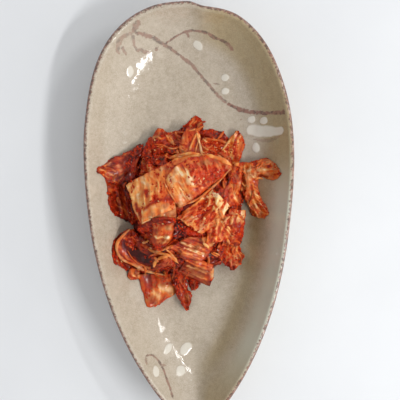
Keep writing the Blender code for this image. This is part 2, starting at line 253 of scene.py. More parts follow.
# How far the broad end's edge drops where the two sides of the leaf meet, at x from the leaning middle
def lipDrop(x, share):
    bell = ease(x / dish["lipRun"]) * (1 - ease((x - dish["lipRun"]) / dish["lipFade"]))
    return dish["lipDrop"] * bell * np.maximum(0, 1 - share)


# How far the outline's fuller places move a point at x from the leaning middle
def swell(x, y):
    amount, start, run = dish["shoulder"]
    left = amount * ease((y - start) / run)
    amount, start, run = dish["flank"]
    left = left + amount * ease((start - y) / run)
    amount, start, run = dish["rightShoulder"]
    right = amount * ease((y - start) / run)
    return np.where(x < 0, -left, right) * ease(np.abs(x) / dish["swellStart"])


# Points of the ring that lies this share of the wall inwards
def ring(share):
    halfWidth, middle, halfLength = ringSizes(share)
    turn = np.linspace(0, 2 * math.pi, dish["segments"], endpoint=False)
    u = -np.cos(turn)
    y = middle + halfLength * u
    x = np.sign(np.sin(turn)) * halfWidth * fullness(u)
    y = y - lipDrop(x, share) * (u > 0)
    return x + swell(x, y) + lean(y), y


# From 1 at the top of the inner wall to 0 at its foot
def wallRise(share):
    share = np.clip(share, 0, 1)
    bowl = (1 - share) ** dish["wallSteepness"]
    flare = 0.5 * (1 + np.cos(math.pi * share))
    return (1 - dish["wallFlare"]) * bowl + dish["wallFlare"] * flare


rimRadius = dish["wallThickness"] / 2
innerStart = rimRadius * (1 + math.sqrt(0.5)) / dish["wallSide"]
innerTop = dishHeight - rimRadius * (1 - math.sqrt(0.5))


# Height of the inner face at a share of the wall inwards
def innerHeight(share):
    step = np.clip((share - innerStart) / (1 - innerStart), 0, 1)
    return dish["floorTop"] + (innerTop - dish["floorTop"]) * wallRise(step)


# Share of the wall inwards at points in plan
def shareAt(x, y):
    low, high = np.zeros_like(x), np.full_like(x, dish["deepest"])
    across = x - lean(y)
    for _ in range(dish["swellPasses"]):
        across = x - lean(y) - swell(across, y)
    for _ in range(dish["sharePasses"]):
        share = (low + high) / 2
        halfWidth, middle, halfLength = ringSizes(share)
        u = (y + lipDrop(across, share) * (y > middle) - middle) / halfLength
        inside = (np.abs(u) < 1) & (np.abs(across) < halfWidth * fullness(u))
        low, high = np.where(inside, share, low), np.where(inside, high, share)
    return low


def glazeWave(x, y):
    (longX, longY), (shortX, shortY) = dish["waveSize"], dish["rippleSize"]
    short = cloud(x / shortX, y / shortY, 6, 2)
    return dish["wave"] * (cloud(x / longX, y / longY, 5, 2) + dish["ripple"] * short)


# The glaze is even near the lip
def waveShare(share):
    return ease((share - 0.12) / 0.2)


def glazeHeight(x, y):
    share = shareAt(x, y)
    return innerHeight(share) + waveShare(share) * glazeWave(x, y)


# (share, z) all the way round the section: underside, foot, outer wall, rim, inner wall, floor.
# Short steps round off the edges of the foot.
def dishProfile():
    recess = dish["floorTop"] - dish["wallThickness"]
    side = dish["wallSide"]
    outer, inner = dish["footOuter"], dish["footInner"]
    profile = [(share, recess) for share in np.linspace(dish["deepest"], inner + 0.1, 8)]
    profile += [(inner + 0.03, recess - 0.1 * mm), (inner + 0.008, recess - 0.6 * mm)]
    profile += [(inner, 1.0 * mm), (inner - 0.01, 0.3 * mm), (inner - 0.03, 0.0)]
    profile += [(outer + 0.03, 0.0), (outer + 0.01, 0.3 * mm), (outer, 1.0 * mm)]
    profile += [(outer - 0.005, recess - 0.7 * mm), (outer - 0.02, recess - 0.1 * mm)]
    steps = np.linspace(0, 1, 60)
    shares = innerStart + (1 - innerStart) * steps
    heights = innerHeight(shares)
    slope = np.arctan2(-np.gradient(heights), np.gradient(shares) * side)
    outerShares = shares - dish["wallThickness"] * np.sin(slope) / side
    outerHeights = heights - dish["wallThickness"] * np.cos(slope)
    outerWall = [p for p in zip(outerShares[::-2], outerHeights[::-2]) if p[0] < outer - 0.05]
    profile += [p for p in outerWall if p[0] > 0.03]
    for degrees in range(-135, 45, 12):
        angle = math.radians(degrees)
        inwards, drop = rimRadius * (1 + math.sin(angle)), rimRadius * (1 - math.cos(angle))
        profile.append((inwards / side, dishHeight - drop))
    profile += list(zip(shares, heights))
    profile += [(share, dish["floorTop"]) for share in np.linspace(1.03, dish["deepest"], 34)]
    return profile


# Juice that has run from the heap over the glaze. The spot at (46, 8), right of the heap, is the heap's red
# reflection painted on the wall
juice = {
    "spots": (  # x, y, reach across, reach along, in mm, and strength
        (-46, -26, 9, 16, 0.9), (46, 8, 9, 30, 0.85), (-18, -62, 16, 7, 0.35), (30, -34, 14, 10, 0.45),
        (52, 40, 8, 12, 0.5), (-58, -23.5, 1.3, 2.4, 0.4), (-56, -22, 2.2, 1.6, 0.4),
        (-53, -20, 3, 1.6, 0.4), (-49.5, -39, 3.5, 6, 0.35), (-44, -50, 6, 4, 0.25),
    ),
    "softness": 1.6,
    "patchy": 0.35,
}


def juiceAndReflectionAt(x, y):
    stain = np.zeros_like(x)
    for sx, sy, rx, ry, strength in juice["spots"]:
        away = np.hypot((x / mm - sx) / rx, (y / mm - sy) / ry)
        stain = np.maximum(stain, strength * (1 - ease(away / juice["softness"])))
    return stain * (0.75 + juice["patchy"] * cloud(x / 0.006, y / 0.008, 31, 3))


# Painted shade and light on the glaze: browner where the right wall and the tip lie in shade, paler near the
# right rim where more light falls. In mm along y and in shares of the wall inwards
wallShadeAndLight = {
    "tip": (-80, 50),           # from this y down, over this run, the floor of the tip is brown
    "tipStrength": 0.85,
    "sideStart": -3,            # right of the leaning middle line
    "sideRun": (26, 14),        # and how much shorter the run is at the tip
    "upper": (5, 45),           # from this y up, the right wall is brown rather than its foot
    "upperWall": (0.32, 0.25),
    "foot": (0.50, 0.17),       # middle and half width of the brown band along the foot of the wall
    "footAtTip": 0.1,
    # the next two: painted light, paler near the right rim below the given y and away from the tip
    "paleLightWall": (0.16, 0.2),
    "paleLightBelow": (62, 50),
}


def paintedWallShadeAndLight(x, y):
    share = shareAt(x, y)
    y = y / mm
    start, run = wallShadeAndLight["tip"]
    tip = ease((start - y) / run)
    wide, narrower = wallShadeAndLight["sideRun"]
    side = ease((x / mm - lean(y * mm) / mm - wallShadeAndLight["sideStart"]) / (wide - narrower * tip))
    start, run = wallShadeAndLight["upper"]
    upper = ease((y - start) / run)
    middle, half = wallShadeAndLight["foot"]
    atTip = wallShadeAndLight["footAtTip"] * tip
    foot = np.exp(-((share - middle - atTip) / (half + atTip)) ** 2)
    start, run = wallShadeAndLight["upperWall"]
    paintedBrownShade = side * (upper * (1 - ease((share - start) / run)) + (1 - upper) * foot)
    paintedBrownShade = np.maximum(paintedBrownShade, wallShadeAndLight["tipStrength"] * side * tip)
    start, run = wallShadeAndLight["paleLightWall"]
    paintedPaleLight = side * (1 - ease((share - start) / run))
    start, run = wallShadeAndLight["paleLightBelow"]
    paintedPaleLight = paintedPaleLight * ease((start - y) / run) * (1 - tip)
    return {"paintedBrownShade": paintedBrownShade.ravel(), "paintedPaleLight": paintedPaleLight.ravel()}


# Rings of points from the underside round the lip to the floor, joined and closed
def makeDish(material):
    profile = dishProfile()
    loops, reach, inside, run = [], [], [], 0.0
    rimIndex = int(np.argmax([z for _, z in profile]))
    for index, (share, z) in enumerate(profile):
        x, y = ring(share)
        if index:
            run += math.hypot((share - profile[index - 1][0]) * dish["wallSide"], z - profile[index - 1][1])
        reach.append(run)
        inside.append(float(index > rimIndex))
        height = z + inside[-1] * waveShare(share) * glazeWave(x, y)
        loops.append(np.stack([x, y, height], axis=-1))
    points = np.array(loops)
    rings, count = points.shape[:2]
    at = np.arange(rings * count).reshape(rings, count)
    after = np.roll(at, -1, axis=1)
    faces = list(np.stack([at[:-1], after[:-1], after[1:], at[1:]], axis=-1).reshape(-1, 4))
    half = count // 2
    for ringAt, under in ((at[0], True), (at[-1], False)):  # the first and last ring are closed across
        left, right = ringAt[1:half], ringAt[:half:-1]
        cap = list(np.stack([right[:-1], right[1:], left[1:], left[:-1]], axis=-1))
        ends = [(right[0], left[0], ringAt[0]), (left[-1], right[-1], ringAt[half])]
        faces.extend([face if under else face[::-1] for face in cap + ends])
    flat = points.reshape(-1, 3)
    marks = {
        "rimRun": np.repeat((np.array(reach) - reach[rimIndex]) / mm, count),
        "juice": juiceAndReflectionAt(flat[:, 0], flat[:, 1]) * np.repeat(inside, count),
        **paintedWallShadeAndLight(flat[:, 0], flat[:, 1]),
    }
    return meshObject("glazedDish", flat, faces, material, marks)


# Glaze, iron and slip, in mm where nothing else is said
glaze = {
    "base": (0.515, 0.437, 0.345),
    "pale": (0.62, 0.545, 0.445),
    "dark": (0.30, 0.243, 0.165),
    "broad": (0.42, 0.37, 0.28),
    # the next two: painted light, paler near the right rim, and painted shade, browner on the right wall and
    # the tip
    "paintedPaleLight": (0.57, 0.56, 0.455),
    "paintedBrownShade": (0.80, 0.725, 0.53),
    "iron": (0.100, 0.052, 0.044),
    "ironPale": (0.27, 0.125, 0.092),
    "ironWorn": (0.44, 0.30, 0.25),
    "clay": (0.30, 0.20, 0.13),
    # of juice stains, and of the heap's painted red reflection
    "stain": (0.58, 0.27, 0.13),
    "slip": (0.76, 0.72, 0.63),
    # clouds over the clay's grain: noise and its detail, where it fades in, strength, colour
    "clouds": (
        (330.0, 2.0, 0.5, 0.72, 0.3, "pale"), (330.0, 2.0, 0.5, 0.28, 0.22, "dark"),
        (90.0, 3.0, 0.35, 0.7, 0.25, "pale"), (18.0, 2.0, 0.4, 0.7, 0.16, "broad"),
    ),
    "juiceAndReflectionStrength": 0.55,
    "rimWidth": 1.6,            # half the width of the brown on the lip
    "rimMiddle": -1.45,         # inwards from the top of the lip
    "rimRagged": 5.5,           # how far the brown's edges wander
    "rimStrength": 0.90,
    "unglazed": (0.0016, 0.0005),   # in m: glaze above the first height, bare clay below the second
    "bumpDepth": 0.0006,        # in m
    "ior": 1.52,
    "ironRagged": 2.4,
    "slipRagged": 0.7,
    "slipStrength": 0.80,
}


# Beige glaze with the grain of the clay showing through, and painted light and shade on its walls
def glazeColour(tree, place):
    grain = noiseAt(tree, place, 1400.0, 3.0, 0.7)
    colour = mixColour(tree, fade(tree, grain, 0.35, 0.68), glaze["dark"], glaze["pale"])
    colour = mixColour(tree, 0.60, colour, glaze["base"])
    for scale, detail, low, high, strength, tint in glaze["clouds"]:
        patch = fade(tree, noiseAt(tree, place, scale, detail), low, high)
        colour = mixColour(tree, sums(tree, "MULTIPLY", patch, strength), colour, glaze[tint])
    # painted light near the right rim, then painted brown shade on the right wall and the tip
    colour = mixColour(tree, mark(tree, "paintedPaleLight"), colour, glaze["paintedPaleLight"])
    return mixColour(tree, mark(tree, "paintedBrownShade"), colour, glaze["paintedBrownShade"], "MULTIPLY")


# Fine unevenness of the glazed face
def glazeBump(tree, place, strength=0.25):
    ripple = noiseAt(tree, place, 220.0, 2.0)
    grain = noiseAt(tree, place, 1500.0, 2.0)
    height = sums(tree, "MULTIPLY_ADD", grain, 0.22, ripple)
    return bumpFrom(tree, height, strength, glaze["bumpDepth"])


def patchyGloss(tree, place):
    return sums(tree, "MULTIPLY_ADD", noiseAt(tree, place, 400.0, 2.0), 0.10, 0.06)


def setGlaze(tree, shader, colour, gloss, bump):
    setInputs(tree, shader, {"Base Color": colour, "Roughness": gloss, "Normal": bump, "IOR": glaze["ior"]})


def makeGlaze():
    material, tree, shader, place = newMaterial("stonewareGlaze")
    colour = glazeColour(tree, place)
    # juice stains, and the heap's red reflection painted on the right wall
    stain = sums(tree, "MULTIPLY", mark(tree, "juice"), glaze["juiceAndReflectionStrength"])
    colour = mixColour(tree, stain, colour, glaze["stain"], "MULTIPLY")
    rimNoise = noiseAt(tree, place, 560.0, 3.0, 0.6)
    away = sums(tree, "ABSOLUTE", sums(tree, "SUBTRACT", mark(tree, "rimRun"), glaze["rimMiddle"]))
    edge = sums(tree, "SUBTRACT", glaze["rimWidth"] - glaze["rimRagged"] / 2, away)
    rim = fade(tree, sums(tree, "MULTIPLY_ADD", rimNoise, glaze["rimRagged"], edge), -0.5, 0.6)
    worn = fade(tree, noiseAt(tree, place, 330.0, 3.0, 0.6), 0.50, 0.66)
    spotted = fade(tree, noiseAt(tree, place, 640.0, 2.0, 0.6), 0.42, 0.60)
    tint = mixColour(tree, spotted, glaze["iron"], glaze["ironPale"])
    tint = mixColour(tree, worn, tint, glaze["ironWorn"])
    colour = mixColour(tree, sums(tree, "MULTIPLY", rim, glaze["rimStrength"]), colour, tint)
    below = fade(tree, node(tree, "SeparateXYZ", {0: place}).outputs["Z"], *glaze["unglazed"])
    colour = mixColour(tree, below, colour, glaze["clay"])
    gloss = sums(tree, "MAXIMUM", patchyGloss(tree, place), sums(tree, "MULTIPLY", below, 0.8))
    setGlaze(tree, shader, colour, gloss, glazeBump(tree, place))
    return material


# The brush's iron stroke is thin and blotchy, and fades into the glaze towards its sides
def makeIron():
    material, tree, shader, place = newMaterial("ironBrushwork")
    streak = noiseAt(tree, place, 520.0, 3.0, 0.6)
    ink = sums(tree, "SUBTRACT", mark(tree, "ink"), 1.5)
    share = sums(tree, "MULTIPLY_ADD", streak, glaze["ironRagged"], ink)
    cover = sums(tree, "MULTIPLY", fade(tree, share, -0.15, 0.6), mark(tree, "wash"))
    spotted = fade(tree, noiseAt(tree, place, 300.0, 2.0), 0.36, 0.56)
    tint = mixColour(tree, spotted, glaze["iron"], glaze["ironPale"])
    colour = mixColour(tree, cover, glazeColour(tree, place), tint)
    setGlaze(tree, shader, colour, patchyGloss(tree, place), glazeBump(tree, place))
    return material


def makeSlip():
    material, tree, shader, place = newMaterial("whiteSlip")
    cloudy = noiseAt(tree, place, 260.0, 3.0)
    ink = sums(tree, "SUBTRACT", mark(tree, "ink"), 0.55)
    share = sums(tree, "MULTIPLY_ADD", cloudy, glaze["slipRagged"], ink)
    cover = sums(tree, "MULTIPLY", fade(tree, share, 0.0, 0.5), glaze["slipStrength"])
    colour = mixColour(tree, cover, glazeColour(tree, place), glaze["slip"])
    setGlaze(tree, shader, colour, 0.16, glazeBump(tree, place, 0.15))
    return material


dishPiece = makeDish(makeGlaze())
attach(dishPiece, "root")
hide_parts("dish")
print("dish: ", len(dishPiece.data.polygons), "faces")


# The plum branch painted on the dish, in mm.
# Each stroke: strength, half width at its start, middle and end, then the points of its line.
branch = {
    "step": 0.5,
    "endFade": 1.6,             # how long a stroke takes to thin out
    "widen": 1.5,
    "sunk": 0.02,               # how far below the glaze the sides of strokes and petals lie
    "slipLift": 1.7,
    "strokes": {
        "trunk": (0.68, (1.2, 1.0, 1.0), (-38, 124.5), (-35.5, 125), (-32, 125), (-29, 124.5), (-26.5, 124),
                  (-22.5, 122.5), (-20.5, 121.5), (-17, 119.5), (-14, 118), (-11, 116), (-6.5, 113),
                  (1.5, 107), (6.5, 101), (11.5, 95.5), (16.5, 89.5), (21.5, 84), (27.5, 79)),
        "trunkEnd": (0.90, (1.0, 1.25, 1.2), (26, 80), (35.5, 75), (45, 72.5), (53.5, 71), (59.5, 70.5),
                     (66, 70)),
        "overBough": (0.75, (0.5, 0.7, 1.0), (-17.5, 119.5), (-15.5, 121.5), (-13, 123), (-10.5, 124.5),
                      (-6.5, 126.5), (-2.5, 128), (2, 128.5), (7, 128), (12.5, 126.5), (18.5, 123.5),
                      (24.5, 121), (27, 119), (30, 115.5), (31, 114.5)),
        "overTwig": (0.7, (0.6, 0.7, 0.6), (-2.5, 128), (-1, 126), (0.5, 123.5)),
        "knot": (0.50, (1.1, 1.2, 1.0), (-38, 124.5), (-40.5, 124), (-42.5, 123), (-45, 121.5),
                 (-47, 119.5), (-48, 117), (-48.5, 114.5), (-49, 112.5), (-47.5, 110.5)),
        "knotTwig": (0.55, (0.9, 1.1, 0.8), (-45.5, 116.5), (-45.5, 115), (-44.5, 112.5), (-43.5, 110.5)),
        "upTwig": (0.60, (0.9, 1.3, 1.7), (-38.5, 124.5), (-37, 128), (-35, 130.5), (-32.8, 132)),
        "underBough": (0.52, (1.0, 1.0, 0.9), (-38, 124.5), (-38.5, 121.5), (-38, 117.5), (-36, 115),
                       (-33.5, 115.5), (-31.5, 114.5), (-28.5, 114.5), (-27.5, 115.5)),
        "knotSpur": (0.60, (0.8, 1.2, 0.9), (-21.5, 118.5), (-23, 117), (-23.5, 115)),
        "lowerStem": (0.7, (0.6, 0.7, 0.6), (-30, -96.5), (-26.5, -96.5), (-23, -99), (-19.5, -104),
                      (-17, -109), (-15, -114.5), (-13, -119), (-10.5, -125.5)),
        "lowerTwig": (0.5, (0.6, 0.8, 0.6), (-30, -96.5), (-28.5, -102)),
        "lowerBud": (0.5, (0.6, 0.8, 0.6), (-19.5, -104), (-16, -105)),
        "sideTwig": (0.5, (0.6, 0.7, 0.6), (16.5, 93.7), (19, 93.5), (21.7, 93)),
        "spot": (0.9, (0.5, 0.6, 0.5), (-1.2, 116.2), (0.2, 116.2)),
        "leafSpot": (0.7, (0.7, 0.9, 0.7), (36.4, 68.4), (37.2, 66.8)),
        "leafShade": (0.35, (0.8, 1.3, 0.8), (45, 53.5), (52, 52.3), (57, 52), (61, 54.5), (64.5, 57)),
    },
    # x, y, half length, half width, degrees, lift
    "petals": (
        (6, 119.5, 4.4, 2.9, -40, 0.30), (25.5, 97.5, 3.0, 2.8, 0, 0.30), (25.5, 88, 3.2, 2.7, 10, 0.28),
        (-41.5, 100.5, 4.5, 2.6, 84, 0.30), (-34.5, 105, 3.3, 2.7, 0, 0.12), (44, 67.5, 3.1, 2.8, 20, 0.28),
        (52, 66, 3.1, 2.9, 60, 0.28), (47, 47.5, 4.2, 2.9, 100, 0.30),
        (-15, -94.5, 4.5, 2.9, 60, 0.28), (-3, -95.5, 5.6, 3.8, 50, 0.34), (-6, -109.5, 3.8, 3.7, 0, 0.32),
        (-22.5, -107, 4.1, 2.1, 110, 0.2),
    ),
    "leaf": ((2.6, 3.6, 1.9), (40.5, 60.5), (46, 59.8), (53, 58.7), (59, 58), (65, 58)),
}


# Smooth line through points, a point every step
def smoothLine(points, step):
    points = np.array(points, float)
    whole = np.vstack([2 * points[0] - points[1], points, 2 * points[-1] - points[-2]])
    line = []
    for a, b, c, d in zip(whole, whole[1:], whole[2:], whole[3:]):
        count = max(2, int(np.linalg.norm(c - b) / step))
        for t in np.arange(count) / count:
            line.append(0.5 * (2 * b + (c - a) * t + (2 * a - 5 * b + 4 * c - d) * t * t
                               + (3 * b - a - 3 * c + d) * t ** 3))
    line.append(points[-1])
    return np.array(line)


# A ribbon that lies on the glaze: highest along its middle, sunk in at its sides
def ribbon(name, wash, widths, points, material, seed, lift=0.05, wobble=0.25):
    line = smoothLine(points, branch["step"])
    ahead = np.gradient(line, axis=0)
    ahead /= np.linalg.norm(ahead, axis=1, keepdims=True)
    aside = np.stack([-ahead[:, 1], ahead[:, 0]], axis=1)
    share = np.linspace(0, 1, len(line))
    length = len(line) * branch["step"]
    nearEnd = np.minimum(1, length * np.minimum(share, 1 - share) / branch["endFade"])
    width = np.interp(share, (0, 0.5, 1), widths)
    width = width * (1 + wobble * cloud(share * length / 4, share * 0, seed, 2))
    width = width * (0.45 + 0.55 * nearEnd) * branch["widen"]
    across = np.linspace(-1, 1, 9)
    plan = line[:, None] + aside[:, None] * (width[:, None] * across[None])[..., None]
    x, y = plan[..., 0] * mm, plan[..., 1] * mm
    ink = (1 - np.abs(across[None]) ** 2.2) * (0.3 + 0.7 * nearEnd)[:, None]
    z = glazeHeight(x, y) + (lift * np.clip(ink * 2.5, 0, 1) - branch["sunk"]) * mm
    flat = np.stack([x, y, z], axis=-1).reshape(-1, 3)
    faces = gridFaces(len(line), len(across), flip=True)
    marks = {"ink": ink.ravel(), "wash": np.full(ink.size, wash), **paintedWallShadeAndLight(x, y)}
    return meshObject(name, flat, faces, material, marks)


# A flat drop of slip, highest in its middle
def petal(name, x, y, long, wide, degrees, lift, material, seed):
    turn = np.linspace(0, 2 * math.pi, 28, endpoint=False)
    rings = np.linspace(0.12, 1.0, 9)
    blob = 1 + 0.10 * cloud(np.cos(turn) * 1.3, np.sin(turn) * 1.3, seed)
    u, v = np.outer(rings, np.cos(turn) * blob) * long, np.outer(rings, np.sin(turn) * blob) * wide
    angle = math.radians(degrees)
    px = (x + u * math.cos(angle) - v * math.sin(angle)) * mm
    py = (y + u * math.sin(angle) + v * math.cos(angle)) * mm
    ink = np.outer(1 - rings ** 4, np.ones(len(turn)))
    dome = np.outer(1 - rings ** 3, np.ones(len(turn)))
    z = glazeHeight(px, py) + (branch["slipLift"] * lift * dome - branch["sunk"]) * mm
    flat = np.stack([px, py, z], axis=-1).reshape(-1, 3)
    at = np.arange(len(rings) * len(turn)).reshape(len(rings), len(turn))
    after = np.roll(at, -1, axis=1)
    faces = list(np.stack([at[:-1], at[1:], after[1:], after[:-1]], axis=-1).reshape(-1, 4))
    faces.append(at[0])
    return meshObject(name, flat, faces, material, {"ink": ink.ravel(), **paintedWallShadeAndLight(px, py)})


# Pieces joined into one, under a new name
def joined(name, pieces):
    bpy.ops.object.select_all(action="DESELECT")
    for piece in pieces:
        piece.select_set(True)
    bpy.context.view_layer.objects.active = pieces[0]
    bpy.ops.object.join()
    pieces[0].name = name
    return pieces[0]


def paintBranch():
    iron, slip = makeIron(), makeSlip()
    strokes = [ribbon("stroke", wash, widths, points, iron, 40 + k)
               for k, (wash, widths, *points) in enumerate(branch["strokes"].values())]
    petals = [petal("petal", *row, slip, 60 + k) for k, row in enumerate(branch["petals"])]
    widths, *points = branch["leaf"]
    petals.append(ribbon("leaf", 1, widths, points, slip, 80, lift=0.2, wobble=0.08))
    painted = {"stoneware_glaze": joined("plumBranch", strokes), "white_slip": joined("plumPetals", petals)}
    for slotName, piece in painted.items():
        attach(piece, "root")
    print("branch: ", len(strokes), "strokes and", len(petals), "petals")


paintBranch()


# Where the heap's own middle lies on the dish, in mm, and how far its cuts are spread from it
heap = {"at": (-0.8, -5.0), "spread": 1.03}


def onDish(points):
    return np.array(points, float) * heap["spread"] + heap["at"]


# The heap's relief: how high everything that already lies there is
relief = {"cell": 0.7 * mm, "half": 82 * mm}
reliefSteps = int(2 * relief["half"] / relief["cell"]) + 1
reliefLine = np.linspace(-relief["half"], relief["half"], reliefSteps)
reliefX, reliefY = np.meshgrid(reliefLine, reliefLine)
relief["height"] = glazeHeight(reliefX, reliefY)


# Row and column of the relief at a point, with their fractions
def reliefPlace(x, y):
    column = np.clip((x + relief["half"]) / relief["cell"], 0, reliefSteps - 1.001)
    row = np.clip((y + relief["half"]) / relief["cell"], 0, reliefSteps - 1.001)
    return row, column


# Height of whatever lies at a point so far
def heightUnder(x, y):
    row, column = reliefPlace(x, y)
    r, c = row.astype(int), column.astype(int)
    v, u = row - r, column - c
    high = relief["height"]
    near = high[r, c] * (1 - u) + high[r, c + 1] * u
    far = high[r + 1, c] * (1 - u) + high[r + 1, c + 1] * u
    return near * (1 - v) + far * v


# Height in mm of a surface at points in mm
def heightIn(surface, points):
    return surface(points[..., 0] * mm, points[..., 1] * mm) / mm


# Points halfway between the neighbours of a grid are added
def refine(points):
    for axis in (0, 1):
        points = np.moveaxis(points, axis, 0)
        finer = np.repeat(points, 2, axis=0)[:-1]
        finer[1::2] = (points[1:] + points[:-1]) / 2
        points = np.moveaxis(finer, 0, axis)
    return points


# The relief takes up the upper face of a new piece
def coverRelief(points):
    fine = refine(points)
    row, column = reliefPlace(fine[..., 0], fine[..., 1])
    index = (np.rint(row).astype(int).ravel(), np.rint(column).astype(int).ravel())
    np.maximum.at(relief["height"], index, fine[..., 2].ravel())


# Kimchi colours, from the darkest leaf to the palest rib
kimchi = {
    # where little juice has soaked in
    "washed": (
        (0.00, (0.062, 0.003, 0.001)),
        (0.14, (0.145, 0.0095, 0.003)),
        (0.28, (0.240, 0.029, 0.008)),
        (0.42, (0.360, 0.078, 0.018)),
        (0.55, (0.475, 0.155, 0.044)),
        (0.68, (0.610, 0.250, 0.098)),
        (0.82, (0.750, 0.425, 0.205)),
        (0.92, (0.870, 0.575, 0.335)),
        (1.00, (0.930, 0.720, 0.500)),
    ),
    # and where it has stained the cabbage through
    "stained": (
        (0.00, (0.045, 0.0025, 0.001)),
        (0.14, (0.165, 0.008, 0.002)),
        (0.28, (0.330, 0.020, 0.004)),
        (0.42, (0.490, 0.050, 0.008)),
        (0.55, (0.640, 0.108, 0.017)),
        (0.68, (0.740, 0.196, 0.038)),
        (0.82, (0.820, 0.345, 0.092)),
        (0.92, (0.880, 0.495, 0.195)),
        (1.00, (0.880, 0.650, 0.360)),
    ),
    "paste": (
        (0.05, (0.110, 0.005, 0.002)),
        (0.25, (0.320, 0.014, 0.003)),
        (0.45, (0.520, 0.035, 0.005)),
        (0.75, (0.680, 0.075, 0.010)),
    ),
    "pasteCover": 0.85,
    "bump": (0.45, 0.0005),     # strength, and depth in m
    "wetBump": (1.0, 0.00055),  # of the juice that lies on it
}


def makeKimchi():
    material, tree, shader, place = newMaterial("wetCabbage")
    fine = noiseAt(tree, place, 900.0, 4.0, 0.6)
    blotch = noiseAt(tree, place, 240.0, 3.0)
    tone = sums(tree, "MULTIPLY_ADD", fine, 0.14, mark(tree, "tone"))
    tone = sums(tree, "MULTIPLY_ADD", blotch, 0.30, sums(tree, "SUBTRACT", tone, 0.252))
    stain = sums(tree, "SUBTRACT", mark(tree, "stain"), 1.4)
    soaked = sums(tree, "MULTIPLY_ADD", noiseAt(tree, place, 210.0, 3.0), 2.8, stain)
    soaked = fade(tree, soaked, 0.15, 0.85)
    colour = mixColour(tree, soaked, ramp(tree, tone, kimchi["washed"]), ramp(tree, tone, kimchi["stained"]))
    smear = noiseAt(tree, place, 420.0, 4.0, 0.62)
    smeared = sums(tree, "ADD", smear, sums(tree, "SUBTRACT", mark(tree, "paste"), 0.5))
    cover = fade(tree, smeared, 0.44, 0.62)
    grit = noiseAt(tree, place, 1300.0, 3.0)
    pasteTone = sums(tree, "MULTIPLY_ADD", grit, 0.7, sums(tree, "SUBTRACT", tone, 0.35))
    thickCover = sums(tree, "MULTIPLY", cover, kimchi["pasteCover"])
    colour = mixColour(tree, thickCover, colour, ramp(tree, pasteTone, kimchi["paste"]))
    grain = noiseAt(tree, place, 1700.0, 3.0, 0.6)
    ripple = noiseAt(tree, place, 500.0, 2.0)
    height = sums(tree, "MULTIPLY_ADD", grain, 0.35, ripple)
    height = sums(tree, "MULTIPLY_ADD", cover, 0.5, height)
    juicy = noiseAt(tree, place, 300.0, 1.0, 0.3)
    setInputs(tree, shader, {
        "Base Color": colour,
        "Roughness": sums(tree, "MULTIPLY_ADD", ripple, 0.25, 0.25),
        "Specular IOR Level": 0.0,
        "Subsurface Weight": 0.20,
        "Subsurface Radius": (1.0, 0.30, 0.10),
        "Subsurface Scale": 0.0018,
        "Coat Weight": 0.9,
        "Coat Roughness": 0.05,
        "Coat Normal": bumpFrom(tree, juicy, *kimchi["wetBump"]),
        "Coat IOR": 1.40,
        "Normal": bumpFrom(tree, height, *kimchi["bump"]),
        "IOR": 1.4,
    })
    return material


cabbage = makeKimchi()

# How each kind of cut is made, in mm
cutKinds = {
    "rib": {"thick": 3.2, "sideThick": 1.6, "droop": 0.2, "softSteps": 14, "groove": 0.40, "grooveWidth": 1.8,
            "veins": 0.0, "crumple": 0.5, "frill": 0.3, "ragged": 0.5, "round": 0.9, "paste": 0.30,
            "slot": "cabbage_rib"},
    "half": {"thick": 2.0, "sideThick": 1.1, "droop": 0.4, "softSteps": 8, "groove": 0.25, "grooveWidth": 2.4,
             "veins": 0.45, "crumple": 1.3, "frill": 1.0, "ragged": 0.8, "round": 0.6, "paste": 0.46,
             "slot": "cabbage_rib"},
    "leaf": {"thick": 1.1, "sideThick": 0.8, "droop": 0.5, "softSteps": 5, "groove": 0.0, "grooveWidth": 3.0,
             "veins": 0.6, "crumple": 2.0, "frill": 1.6, "ragged": 1.0, "round": 0.4, "paste": 0.52,
             "slot": "cabbage_leaf"},
}
# Where paste lies thickest: x, y, reach across, reach along, strength, in mm
pasteSpots = (
    (9, 32, 11, 8, 0.50), (21, 35, 7, 6, 0.35), (10, 6, 11, 7, 0.42), (19, 50, 10, 7, 0.35),
    (-22, 50, 9, 7, 0.2), (34, -6, 5, 9, 0.25), (32, 51, 2, 7, 0.3), (-26, -47, 2, 2, 0.3),
    (-20, 16, 7, 3, 0.3), (2, -6, 8, 4, 0.25), (4, -10, 7, 3, 0.2), (-27, 20, 2.5, 2.5, 0.4),
    (54, 38, 3, 2, 0.2), (-10, 25, 3, 13, 0.3), (5, -47, 5, 8, 0.3), (-31, 7, 3, 4, 0.3),
    (-25, -55, 2, 2, 0.3),
)
# Where the juice has stained the cabbage orange through, told in the same way
stainSpots = (
    (-18, 23, 7, 12, 0.9), (-27, 14, 9, 3.5, 0.8), (-14, 40, 9, 4, 0.6), (7, 22, 6, 3.5, 0.9),
    (3, 44, 16, 3, 0.8), (-38, 19, 3, 9, 0.6), (-30, -47, 5, 9, 0.5), (24, 33, 6, 5, 0.4),
    (9, 6, 12, 7, 0.4), (24, -4, 9, 9, 0.4), (-16, -6, 6, 5, 0.4), (30, 52, 5, 9, 0.4), (1, 55, 6, 8, 0.5),
)
# Points along and across a cut: how far apart in mm, the fewest and the most
cutGrid = {"step": 0.6, "fewest": 14, "most": 90, "settling": (15, 13), "edgeStep": 0.5}
# Ribs and net on the face of a leaf, in mm
leafRibs = {
    "midribWidth": 1.5,
    "midribTaper": 0.02,
    "spacing": 6.5,
    "slant": 0.9,
    "width": 0.5,
    "mesh": (3.4, 2.6),
    "meshLine": 0.10,
    "strength": (0.8, 0.6, 0.5),  # of the midrib, the side ribs and the net
}
# Folds and puckers across a cut, in mm
folds = {"fold": (13, 5.5), "pucker": (4, 2.8), "puckerShare": 0.3, "meshRise": 0.5, "ribRise": 0.6}
